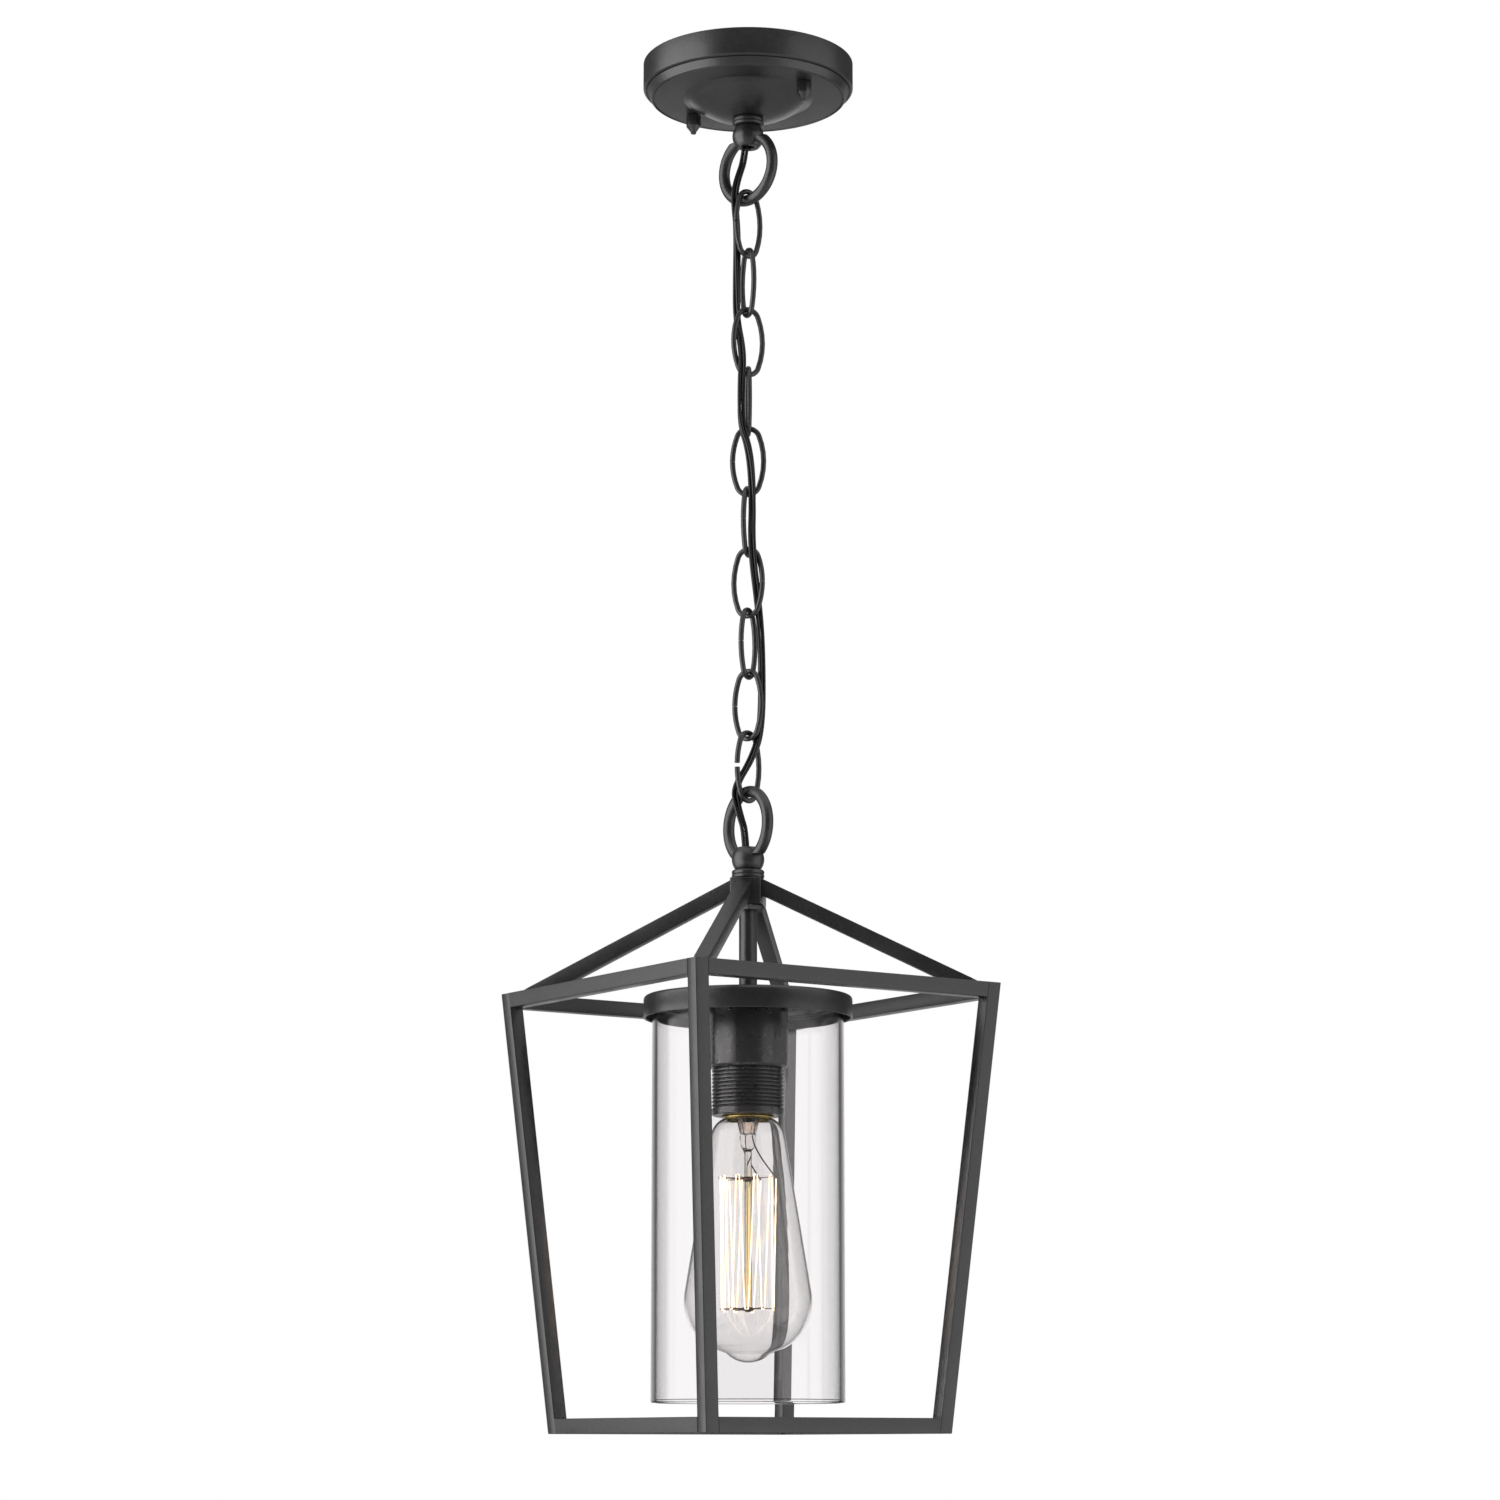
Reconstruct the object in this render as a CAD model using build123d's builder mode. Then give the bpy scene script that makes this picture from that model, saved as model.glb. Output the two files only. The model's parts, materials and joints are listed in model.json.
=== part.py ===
"""A chain-hung open-frame lantern: ceiling canopy, ten-link chain, tapered square cage, glass and lamp.

Millimetres, +Z up. The origin is the centre of the canopy's rim, on the ceiling, and all hangs below it.
"""

import os
from math import atan, atan2, cos, degrees, pi, radians, sin, tan

from build123d import *

# Clearances
seat_gap = 0.3
thread_gap = 0.12
hole_gap = 0.3

# Ceiling canopy
canopy_radius = 60.0
canopy_wall = 1.2
band_height = 16.5
canopy_depth = 20.7
canopy_floor_radius = 55.0
dome_radius = 35.5
dome_crown_radius = 24.0
dome_crown_drop = 7.3
dome_foot_radius = 10.5
dome_drop = 11.6

# Crossbar on the ceiling box, with the screws that carry the canopy
crossbar_turn = -75.0
crossbar_length = 104.0
crossbar_width = 19.0
crossbar_thickness = 2.0
crossbar_recess = 0.5
crossbar_corner = 4.0
box_screw_spacing = 69.85
box_screw_hole_radius = 2.4
canopy_screw_spacing = 84.0
canopy_screw_radius = 2.0
canopy_screw_length = 26.0
cap_nut_flats = 7.4
cap_nut_hex_height = 6.2
cap_nut_tip_height = 4.6
cap_nut_tip_radius = 1.5
ground_screw_offset = 18.0
ground_screw_radius = 1.75
ground_screw_head_radius = 3.6
ground_screw_head_height = 2.2
ground_screw_edge = 0.88

# Threaded tube that hangs everything, its lock nuts and its collars
tube_radius = 5.0
tube_bore_radius = 3.4
nipple_length_above_floor = 9.0
lock_nut_flats = 14.0
lock_nut_height = 4.0
nut_edge_share = 0.08
collar_radius = 9.0
collar_height = 4.7
collar_edge = 1.8
thread_depth_in_ball = 3.6

# Loops: a ring that grows out of a bored ball
ball_radius = 9.0
ball_neck_height = 6.0
ball_mouth_height = 6.6
loop_radius = 19.0
loop_wire_radius = 3.2
canopy_loop_turn = -78.0
lantern_loop_turn = -89.5

# Chain: ovals bent from round wire, each turned about the hang line as the chain twists
link_turns = (6.0, -102.0, -11.0, -119.0, -40.0, 39.0, 121.0, 30.0, -67.0, 13.0)
link_wire_radius = 1.5
link_length = 41.2
link_width = 20.6
link_end_radius = 6.5
link_seam = 0.5
open_link_seam = 2.4

# Lantern cage of square bar, wider at the top than at the bottom
bar = 8.2
cage_top_width = 197.6
cage_bottom_width = 156.5
cage_height = 240.5
hub_to_cage_top = 60.7
hub_width = 17.2
hub_height = 15.0
hub_nut_flats = 16.4
hub_nut_height = 3.0
roof_below_hub_top = 0.6
roof_landing = 10.4
first_corner_turn = 225.0

# Glass holder and open-ended glass
holder_below_cage_top = 4.5
holder_radius = 57.3
holder_height = 12.2
holder_wall = 1.2
holder_edge = 2.0
washer_thickness = 2.0
washer_width = 9.0
glass_radius = 52.5
glass_wall = 2.6
glass_length = 216.5
glass_top_thickness = 3.0
glass_shoulder = 4.0
glass_rim_edge = 1.0

# Lamp holder with its shade ring and contacts
thread_radius = 19.8
lamp_holder_length = 63.6
lamp_holder_roof = 7.0
stem_end_gap = 1.0
lamp_holder_mouth_radius = 14.3
lamp_holder_mouth_depth = 32.0
wire_chamber_radius = 13.0
wire_chamber_height = 18.0
shade_ring_radius = 22.0
shade_ring_length = 33.0
shade_ring_edge = 1.1
screw_shell_radius = 13.45
screw_shell_wall = 0.5
screw_shell_length = 27.0
contact_radius = 4.0
contact_thickness = 1.6
contact_edge = 0.64

# Bulb with a squirrel-cage filament
bulb_cap_radius = 13.1
bulb_cap_length = 26.2
bulb_cap_wall = 0.4
bulb_cap_shoulder_radius = 7.0
bulb_cap_shoulder_height = 3.2
bulb_insulator_height = 3.4
bulb_contact_radius = 3.4
bulb_contact_height = 1.6
bulb_contact_edge = 0.96
bulb_neck_radius = 12.3
bulb_neck_in_cap = 12.6
bulb_shoulder_radius = 20.3
bulb_shoulder_drop = 9.4
bulb_belly_radius = 34.8
bulb_belly_arc = 28.0
bulb_belly_drop = 97.9
bulb_tip_drop = 32.5
bulb_pip_radius = 12.0
bulb_pip_height = 5.0
bulb_foot_angle = radians(-63.0)
bulb_wall = 0.9
press_radius = 4.4
press_flare_radius = 6.1
press_length = 17.4
press_foot_height = 2.2
press_flare_length = 9.4
press_flange_depth = 2.7
glass_rod_radius = 1.95
filament_top_drop = 32.6
filament_height = 69.4
filament_top_radius = 15.2
filament_bottom_radius = 14.4
filament_hooks = 8
filament_turn = 29.0
filament_span = 297.0
filament_hook_half_width = 0.95
filament_bend_radius = 0.76
filament_wire_radius = 0.35
support_wire_radius = 0.35
support_overhang = 1.2
support_bead_radius = 3.3
support_bead_height = 1.6
lead_wire_radius = 0.4
lead_root_turns = (120.0, -94.0)
lead_bend_radius = 3.0

# Supply wires: three insulated strands laid together along one route beside and through the links
supply_wire_radius = 1.0
supply_lay_radius = 1.42
supply_lay_step = 24.0
supply_bend_share = 0.45
supply_route = (
    (0.0, 0.0, -14.0),
    (0.0, 0.0, -52.0),
    (-6.3, 3.9, -73.0),
    (-6.7, 4.0, -84.0),
    (-5.3, 3.6, -102.0),
    (-4.8, 4.5, -130.0),
    (-3.6, 5.9, -150.0),
    (-5.0, -2.5, -173.0),
    (-7.3, -3.6, -190.7),
    (-7.8, -3.7, -214.3),
    (-2.4, -5.4, -230.0),
    (-0.8, -6.5, -256.0),
    (-2.7, -7.4, -286.8),
    (6.4, -1.0, -319.2),
    (6.9, -3.1, -345.0),
    (6.7, -3.8, -388.8),
    (1.3, -0.6, -406.8),
    (-6.2, 4.0, -420.8),
    (-5.0, 3.7, -431.6),
    (0.0, 0.0, -452.0),
    (0.0, 0.0, -546.0),
)

os.makedirs("parts", exist_ok=True)


def save(piece, name):
    """Label a finished piece and write it as one file."""
    piece.part.label = name
    export_step(piece.part, f"parts/{name}.step")


def upright_plane(turn, height):
    """A vertical plane through the hang line: its X runs level at the given turn, its Y runs up."""
    level = (cos(radians(turn)), sin(radians(turn)), 0)
    facing = (sin(radians(turn)), -cos(radians(turn)), 0)
    return Plane(origin=(0, 0, height), x_dir=level, z_dir=facing)


def hex_nut(name, flats, height, top, bore_radius):
    """A plain hexagonal nut on the hang line, hanging down from its top face."""
    with BuildPart() as nut:
        with BuildSketch(Plane.XY.offset(top - height)):
            RegularPolygon(flats / 2, 6, major_radius=False)
            Circle(bore_radius, mode=Mode.SUBTRACT)
        extrude(amount=height)
        chamfer(nut.edges().filter_by(GeomType.LINE).group_by(Axis.Z)[-1], height * nut_edge_share)
    save(nut, name)


def turned_ring(name, top, height, outer_radius, bore_radius, edge):
    """A short collar on the hang line with well rounded outer edges."""
    with BuildPart() as ring:
        with BuildSketch(Plane.XY.offset(top - height)):
            Circle(outer_radius)
            Circle(bore_radius, mode=Mode.SUBTRACT)
        extrude(amount=height)
        outer_edges = ring.edges().filter_by(GeomType.CIRCLE).sort_by(SortBy.RADIUS)[-2:]
        fillet(outer_edges, edge)
    save(ring, name)


# Heights that follow from the sizes above, from the ceiling down
dome_floor = -canopy_depth - dome_drop
canopy_ball = dome_floor - collar_height - ball_neck_height
canopy_loop_centre = canopy_ball - loop_radius
loop_seat = loop_wire_radius + seat_gap + link_wire_radius
link_seat = 2 * link_wire_radius + seat_gap
link_half = link_length / 2 - link_wire_radius
first_link_top = canopy_loop_centre - loop_radius + loop_seat
link_step = 2 * link_half - link_seat
link_centres = [first_link_top - link_half - link_step * n for n in range(len(link_turns))]
lantern_loop_top = link_centres[-1] - link_half + loop_seat
lantern_ball = lantern_loop_top - 2 * loop_radius
lantern_collar_top = lantern_ball - ball_neck_height
hub_top = lantern_collar_top - collar_height
hub_bottom = hub_top - hub_height
cage_top = hub_top - hub_to_cage_top
cage_bottom = cage_top - cage_height
holder_top = cage_top - holder_below_cage_top
lamp_holder_top = holder_top - holder_wall
glass_top = lamp_holder_top - washer_thickness
shade_ring_top = glass_top - glass_top_thickness
lamp_holder_bottom = lamp_holder_top - lamp_holder_length
mouth_floor = lamp_holder_bottom + lamp_holder_mouth_depth

# Canopy dish, spun from sheet
with BuildPart() as canopy_dish:
    with BuildSketch(Plane.XZ):
        with BuildLine():
            Polyline(
                (0, 0),
                (canopy_radius, 0),
                (canopy_radius, -band_height),
                (canopy_floor_radius, -canopy_depth),
                (dome_radius, -canopy_depth),
            )
            ThreePointArc(
                (dome_radius, -canopy_depth),
                (dome_crown_radius, -canopy_depth - dome_crown_drop),
                (dome_foot_radius, dome_floor),
            )
            Polyline((dome_foot_radius, dome_floor), (0, dome_floor), (0, 0))
        make_face()
    revolve(axis=Axis.Z)
    rim = canopy_dish.faces().filter_by(Axis.Z).sort_by(Axis.Z)[-1]
    offset(amount=-canopy_wall, openings=rim, kind=Kind.INTERSECTION)
    Hole(tube_radius + hole_gap)
    with PolarLocations(canopy_screw_spacing / 2, 2, start_angle=crossbar_turn):
        Hole(canopy_screw_radius + hole_gap)
save(canopy_dish, "canopy_dish")

# Crossbar that is screwed to the ceiling box
crossbar_top = -crossbar_recess
crossbar_plane = Plane.XY.offset(crossbar_top - crossbar_thickness).rotated((0, 0, crossbar_turn))
with BuildPart() as mounting_crossbar:
    with BuildSketch(crossbar_plane):
        RectangleRounded(crossbar_length, crossbar_width, crossbar_corner)
        Circle(tube_radius + hole_gap, mode=Mode.SUBTRACT)
        with Locations((-box_screw_spacing / 2, 0), (box_screw_spacing / 2, 0)):
            Circle(box_screw_hole_radius, mode=Mode.SUBTRACT)
        with Locations((-canopy_screw_spacing / 2, 0), (canopy_screw_spacing / 2, 0)):
            Circle(canopy_screw_radius + thread_gap, mode=Mode.SUBTRACT)
        with Locations((ground_screw_offset, 0)):
            Circle(ground_screw_radius + thread_gap, mode=Mode.SUBTRACT)
    extrude(amount=crossbar_thickness)
save(mounting_crossbar, "mounting_crossbar")

with BuildPart() as crossbar_screws:
    with BuildSketch(crossbar_plane.offset(crossbar_thickness - canopy_screw_length)):
        with Locations((-canopy_screw_spacing / 2, 0), (canopy_screw_spacing / 2, 0)):
            Circle(canopy_screw_radius)
    extrude(amount=canopy_screw_length)
save(crossbar_screws, "crossbar_screws")

# Cap nuts under the canopy: a hexagon drawn down to a blunt point
cap_nut_plane = Plane.XY.offset(-canopy_depth - cap_nut_hex_height).rotated((0, 0, crossbar_turn))
cap_nut_points = ((-canopy_screw_spacing / 2, 0), (canopy_screw_spacing / 2, 0))
with BuildPart() as canopy_cap_nuts:
    with BuildSketch(cap_nut_plane):
        with Locations(*cap_nut_points):
            RegularPolygon(cap_nut_flats / 2, 6, major_radius=False)
    extrude(amount=cap_nut_hex_height)
    for cap_nut_point in cap_nut_points:
        with BuildSketch(cap_nut_plane):
            with Locations(cap_nut_point):
                Circle(cap_nut_flats / 2)
        with BuildSketch(cap_nut_plane.offset(-cap_nut_tip_height)):
            with Locations(cap_nut_point):
                Circle(cap_nut_tip_radius)
        loft()
    with BuildSketch(crossbar_plane.offset(crossbar_thickness - canopy_screw_length - seat_gap)):
        with Locations(*cap_nut_points):
            Circle(canopy_screw_radius + thread_gap)
    extrude(amount=canopy_screw_length, mode=Mode.SUBTRACT)
save(canopy_cap_nuts, "canopy_cap_nuts")

with BuildPart() as ground_screw:
    with BuildSketch(crossbar_plane):
        with Locations((ground_screw_offset, 0)):
            Circle(ground_screw_radius)
    extrude(amount=crossbar_thickness)
    with BuildSketch(crossbar_plane.offset(-ground_screw_head_height)):
        with Locations((ground_screw_offset, 0)):
            Circle(ground_screw_head_radius)
    extrude(amount=ground_screw_head_height)
    fillet(ground_screw.edges().group_by(Axis.Z)[0], ground_screw_edge)
save(ground_screw, "ground_screw")

# Threaded nipple through the canopy floor, its lock nut inside and the collar below
nipple_top = dome_floor + canopy_wall + nipple_length_above_floor
nipple_bottom = canopy_ball + ball_neck_height - thread_depth_in_ball
with BuildPart() as threaded_nipple:
    with BuildSketch(Plane.XY.offset(nipple_bottom)):
        Circle(tube_radius)
        Circle(tube_bore_radius, mode=Mode.SUBTRACT)
    extrude(amount=nipple_top - nipple_bottom)
save(threaded_nipple, "threaded_nipple")
hex_nut(
    "nipple_lock_nut",
    lock_nut_flats,
    lock_nut_height,
    dome_floor + canopy_wall + lock_nut_height,
    tube_radius + thread_gap,
)
turned_ring("canopy_collar", dome_floor, collar_height, collar_radius, tube_radius + thread_gap, collar_edge)


def hanging_loop(name, ball_height, turn, way):
    """A ring rooted in a ball that is bored for the wires and threaded for the tube.

    way is -1 for a ring that hangs below its ball, and 1 for one that stands above it.
    """
    neck = ball_height - way * ball_neck_height
    mouth = ball_height + way * ball_mouth_height
    ring_plane = upright_plane(turn, ball_height + way * loop_radius)
    with BuildPart() as loop:
        with BuildSketch(Plane.XZ):
            with BuildLine():
                neck_radius = (ball_radius**2 - ball_neck_height**2) ** 0.5
                mouth_radius = (ball_radius**2 - ball_mouth_height**2) ** 0.5
                ThreePointArc((neck_radius, neck), (ball_radius, ball_height), (mouth_radius, mouth))
                Polyline((mouth_radius, mouth), (0, mouth), (0, neck), (neck_radius, neck))
            make_face()
        revolve(axis=Axis.Z)
        with Locations(ring_plane):
            Torus(loop_radius, loop_wire_radius)
        with BuildSketch(Plane.XY.offset(min(neck, mouth) - loop_wire_radius)):
            Circle(tube_bore_radius)
        extrude(amount=abs(mouth - neck) + 2 * loop_wire_radius, mode=Mode.SUBTRACT)
        with BuildSketch(Plane.XY.offset(neck)):
            Circle(tube_radius + thread_gap)
        extrude(amount=way * (thread_depth_in_ball + seat_gap), mode=Mode.SUBTRACT)
    save(loop, name)


hanging_loop("canopy_loop", canopy_ball, canopy_loop_turn, -1)

# Chain links: an oval of four arcs, open at a seam in the middle of one side
link_half_width = link_width / 2 - link_wire_radius
end_centre = link_half - link_end_radius
side_step = link_half_width - link_end_radius
side_radius = (link_half_width**2 + end_centre**2 - link_end_radius**2) / (2 * side_step)
side_centre = side_radius - link_half_width
side_angle = degrees(atan2(end_centre, side_centre))


def chain_link(name, turn, centre, seam):
    """One link, with its seam in the side away from its turn."""
    seam_angle = degrees(seam / 2 / side_radius)
    side_sweep = side_angle - seam_angle
    end_sweep = 180 - 2 * side_angle
    with BuildPart() as link:
        with BuildLine(upright_plane(turn, centre)) as bend:
            CenterArc((side_centre, 0), side_radius, 180 - seam_angle, -side_sweep)
            CenterArc((0, end_centre), link_end_radius, 180 - side_angle, -end_sweep)
            CenterArc((-side_centre, 0), side_radius, side_angle, -2 * side_angle)
            CenterArc((0, -end_centre), link_end_radius, -side_angle, -end_sweep)
            CenterArc((side_centre, 0), side_radius, 180 + side_angle, -side_sweep)
        with BuildSketch(Plane(origin=bend.line @ 0, z_dir=bend.line % 0)):
            Circle(link_wire_radius)
        sweep()
    save(link, name)


for number, (turn, centre) in enumerate(zip(link_turns, link_centres), start=1):
    is_last = number == len(link_turns)
    chain_link(f"chain_link_{number:02d}", turn, centre, open_link_seam if is_last else link_seam)

# Loop, collar and hub at the head of the lantern
hanging_loop("lantern_loop", lantern_ball, lantern_loop_turn, 1)
turned_ring(
    "lantern_collar", lantern_collar_top, collar_height, collar_radius, tube_radius + thread_gap, collar_edge
)

with BuildPart() as hub:
    with BuildSketch(Plane.XY.offset(hub_bottom).rotated((0, 0, 45))):
        Rectangle(hub_width, hub_width)
        Circle(tube_radius + thread_gap, mode=Mode.SUBTRACT)
    extrude(amount=hub_height)
save(hub, "hub")
hex_nut("hub_nut", hub_nut_flats, hub_nut_height, hub_bottom, tube_radius + thread_gap)

# Cage: every side leans, so each bar is drawn between a level outline at its top and one at its bottom
cage_lean = (cage_top_width - cage_bottom_width) / 2 / cage_height


def cage_half(height):
    """Half the cage's outer width at a height."""
    return cage_top_width / 2 - (cage_top - height) * cage_lean


def frame_bar(name, turn, top):
    """A level bar of one side, between two corner posts."""
    with BuildPart() as level_bar:
        for height in (top - bar, top):
            with BuildSketch(Plane.XY.offset(height).rotated((0, 0, turn))):
                with Locations((0, bar / 2 - cage_half(height))):
                    Rectangle(2 * (cage_half(height) - bar), bar)
        loft(ruled=True)
    save(level_bar, name)


def corner_post(name, turn):
    """A leaning post that runs the whole height of the cage."""
    with BuildPart() as post:
        for height in (cage_bottom, cage_top):
            with BuildSketch(Plane.XY.offset(height).rotated((0, 0, turn))):
                with Locations((bar / 2 - cage_half(height), bar / 2 - cage_half(height))):
                    Rectangle(bar, bar)
        loft(ruled=True)
    save(post, name)


roof_start = (hub_width / 2, hub_top - roof_below_hub_top)
roof_end = (cage_top_width / 2 * 2**0.5 - roof_landing, cage_top)
roof_slope = atan((roof_start[1] - roof_end[1]) / (roof_end[0] - roof_start[0]))
roof_upright = bar / cos(roof_slope)
roof_reach = cage_top_width / 2 * 2**0.5
roof_reach_drop = (roof_reach - roof_start[0]) * tan(roof_slope)


def roof_bar(name, turn):
    """A sloping bar from the hub into the inside corner of the top frame."""
    with BuildPart() as sloping_bar:
        with BuildSketch(upright_plane(turn, 0)):
            with BuildLine():
                Polyline(
                    roof_start,
                    (roof_reach, roof_start[1] - roof_reach_drop),
                    (roof_reach, roof_start[1] - roof_reach_drop - roof_upright),
                    (roof_start[0], roof_start[1] - roof_upright),
                    close=True,
                )
            make_face()
        extrude(amount=bar / 2, both=True)
        for height in (cage_top - bar, hub_top):
            inner_width = 2 * (cage_half(height) - bar)
            with BuildSketch(Plane.XY.offset(height)):
                Rectangle(inner_width, inner_width)
        loft(ruled=True, mode=Mode.INTERSECT)
    save(sloping_bar, name)


for number in range(1, 5):
    side_turn = 90 * (number - 1)
    frame_bar(f"top_bar_{number}", side_turn, cage_top)
    frame_bar(f"bottom_bar_{number}", side_turn, cage_bottom + bar)
    corner_post(f"corner_post_{number}", side_turn)
    roof_bar(f"roof_bar_{number}", side_turn + first_corner_turn)

# Stem: the hollow threaded tube from the lantern's loop down into the lamp holder
stem_top = lantern_ball - ball_neck_height + thread_depth_in_ball
stem_bottom = lamp_holder_top - lamp_holder_roof + stem_end_gap
with BuildPart() as stem:
    with BuildSketch(Plane.XY.offset(stem_bottom)):
        Circle(tube_radius)
        Circle(tube_bore_radius, mode=Mode.SUBTRACT)
    extrude(amount=stem_top - stem_bottom)
save(stem, "stem")
stem_nut_top = holder_top + lock_nut_height
hex_nut("stem_lock_nut", lock_nut_flats, lock_nut_height, stem_nut_top, tube_radius + thread_gap)

# Glass holder: a shallow cap on the stem, with its soft washer and the glass below
with BuildPart() as glass_holder:
    with BuildSketch(Plane.XY.offset(holder_top - holder_height)):
        Circle(holder_radius)
    extrude(amount=holder_height)
    fillet(glass_holder.edges().group_by(Axis.Z)[-1], holder_edge)
    underside = glass_holder.faces().filter_by(Axis.Z).sort_by(Axis.Z)[0]
    offset(amount=-holder_wall, openings=underside)
    with Locations((0, 0, holder_top)):
        Hole(tube_radius + thread_gap)
save(glass_holder, "glass_holder")

collar_hole = thread_radius + hole_gap
with BuildPart() as glass_washer:
    with BuildSketch(Plane.XY.offset(glass_top)):
        Circle(collar_hole + washer_width)
        Circle(collar_hole, mode=Mode.SUBTRACT)
    extrude(amount=washer_thickness)
save(glass_washer, "glass_washer")

glass_bottom = glass_top - glass_length
with BuildPart() as glass_cylinder:
    with BuildSketch(Plane.XY.offset(glass_bottom)):
        Circle(glass_radius)
    extrude(amount=glass_length)
    fillet(glass_cylinder.edges().group_by(Axis.Z)[-1], glass_shoulder)
    with BuildSketch(Plane.XY.offset(glass_bottom)):
        Circle(glass_radius - glass_wall)
    extrude(amount=glass_length - glass_top_thickness, mode=Mode.SUBTRACT)
    with Locations((0, 0, glass_top)):
        Hole(collar_hole)
    fillet(glass_cylinder.edges().group_by(Axis.Z)[0], glass_rim_edge)
save(glass_cylinder, "glass_cylinder")

# Lamp holder: a threaded insulating body, the long ring that clamps the glass, and the live parts
with BuildPart() as shade_ring:
    with BuildSketch(Plane.XY.offset(shade_ring_top - shade_ring_length)):
        Circle(shade_ring_radius)
        Circle(thread_radius + thread_gap, mode=Mode.SUBTRACT)
    extrude(amount=shade_ring_length)
    lower_edge = shade_ring.edges().group_by(Axis.Z)[0].sort_by(SortBy.RADIUS)[-1]
    chamfer(lower_edge, shade_ring_edge)
save(shade_ring, "shade_ring")

with BuildPart() as lamp_holder:
    with BuildSketch(Plane.XY.offset(lamp_holder_bottom)):
        Circle(thread_radius)
    extrude(amount=lamp_holder_length)
    with BuildSketch(Plane.XY.offset(lamp_holder_bottom)):
        Circle(lamp_holder_mouth_radius)
    extrude(amount=lamp_holder_mouth_depth, mode=Mode.SUBTRACT)
    with BuildSketch(Plane.XY.offset(lamp_holder_top - lamp_holder_roof - wire_chamber_height)):
        Circle(wire_chamber_radius)
    extrude(amount=wire_chamber_height, mode=Mode.SUBTRACT)
    with BuildSketch(Plane.XY.offset(lamp_holder_top - lamp_holder_roof)):
        Circle(tube_radius + thread_gap)
    extrude(amount=lamp_holder_roof, mode=Mode.SUBTRACT)
save(lamp_holder, "lamp_holder")

with BuildPart() as screw_shell:
    with BuildSketch(Plane.XY.offset(mouth_floor - screw_shell_length)):
        Circle(screw_shell_radius + screw_shell_wall)
        Circle(screw_shell_radius, mode=Mode.SUBTRACT)
    extrude(amount=screw_shell_length)
save(screw_shell, "screw_shell")

with BuildPart() as centre_contact:
    with BuildSketch(Plane.XY.offset(mouth_floor - contact_thickness)):
        Circle(contact_radius)
    extrude(amount=contact_thickness)
    fillet(centre_contact.edges().group_by(Axis.Z)[0], contact_edge)
save(centre_contact, "centre_contact")

# Bulb cap: the screw base of the bulb, its insulator and its contact
bulb_contact_bottom = mouth_floor - contact_thickness - seat_gap - bulb_contact_height
bulb_insulator_bottom = bulb_contact_bottom - bulb_insulator_height
bulb_cap_bottom = bulb_insulator_bottom - bulb_cap_length
with BuildPart() as bulb_contact:
    with BuildSketch(Plane.XY.offset(bulb_contact_bottom)):
        Circle(bulb_contact_radius)
    extrude(amount=bulb_contact_height)
    fillet(bulb_contact.edges().group_by(Axis.Z)[-1], bulb_contact_edge)
save(bulb_contact, "bulb_contact")

with BuildPart() as bulb_insulator:
    with BuildSketch(Plane.XY.offset(bulb_insulator_bottom)):
        Circle(bulb_cap_shoulder_radius)
    with BuildSketch(Plane.XY.offset(bulb_contact_bottom)):
        Circle(bulb_contact_radius)
    loft()
save(bulb_insulator, "bulb_insulator")

with BuildPart() as bulb_cap:
    with BuildSketch(Plane.XZ):
        with BuildLine():
            Polyline(
                (0, bulb_insulator_bottom),
                (bulb_cap_shoulder_radius, bulb_insulator_bottom),
                (bulb_cap_radius, bulb_insulator_bottom - bulb_cap_shoulder_height),
                (bulb_cap_radius, bulb_cap_bottom),
                (0, bulb_cap_bottom),
                close=True,
            )
        make_face()
    revolve(axis=Axis.Z)
    offset(amount=-bulb_cap_wall, openings=bulb_cap.faces().sort_by(Axis.Z)[0], kind=Kind.INTERSECTION)
save(bulb_cap, "bulb_cap")

# Bulb glass: a neck, a straight taper, a round belly and a small pip
bulb_neck_top = bulb_cap_bottom + bulb_neck_in_cap
bulb_shoulder = bulb_cap_bottom - bulb_shoulder_drop
bulb_belly = bulb_cap_bottom - bulb_belly_drop
bulb_tip = bulb_belly - bulb_tip_drop
belly_centre = bulb_belly_radius - bulb_belly_arc
shoulder_out = bulb_shoulder_radius - belly_centre
shoulder_up = bulb_shoulder - bulb_belly
taper_angle = atan2(shoulder_up, shoulder_out) - pi / 2 + atan2(
    bulb_belly_arc, (shoulder_out**2 + shoulder_up**2 - bulb_belly_arc**2) ** 0.5
)
neck_step = bulb_shoulder_radius - bulb_neck_radius
shoulder_arc = (neck_step**2 + bulb_shoulder_drop**2) / (
    2 * (neck_step * cos(taper_angle) - bulb_shoulder_drop * sin(taper_angle))
)
shoulder_centre = bulb_shoulder_radius - shoulder_arc * cos(taper_angle)
shoulder_middle = bulb_shoulder - shoulder_arc * sin(taper_angle)
pip_arc = (bulb_pip_radius**2 + bulb_pip_height**2) / (2 * bulb_pip_height)
pip_angle = atan2(bulb_pip_radius, pip_arc - bulb_pip_height)
pip_centre = bulb_tip + pip_arc


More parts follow.
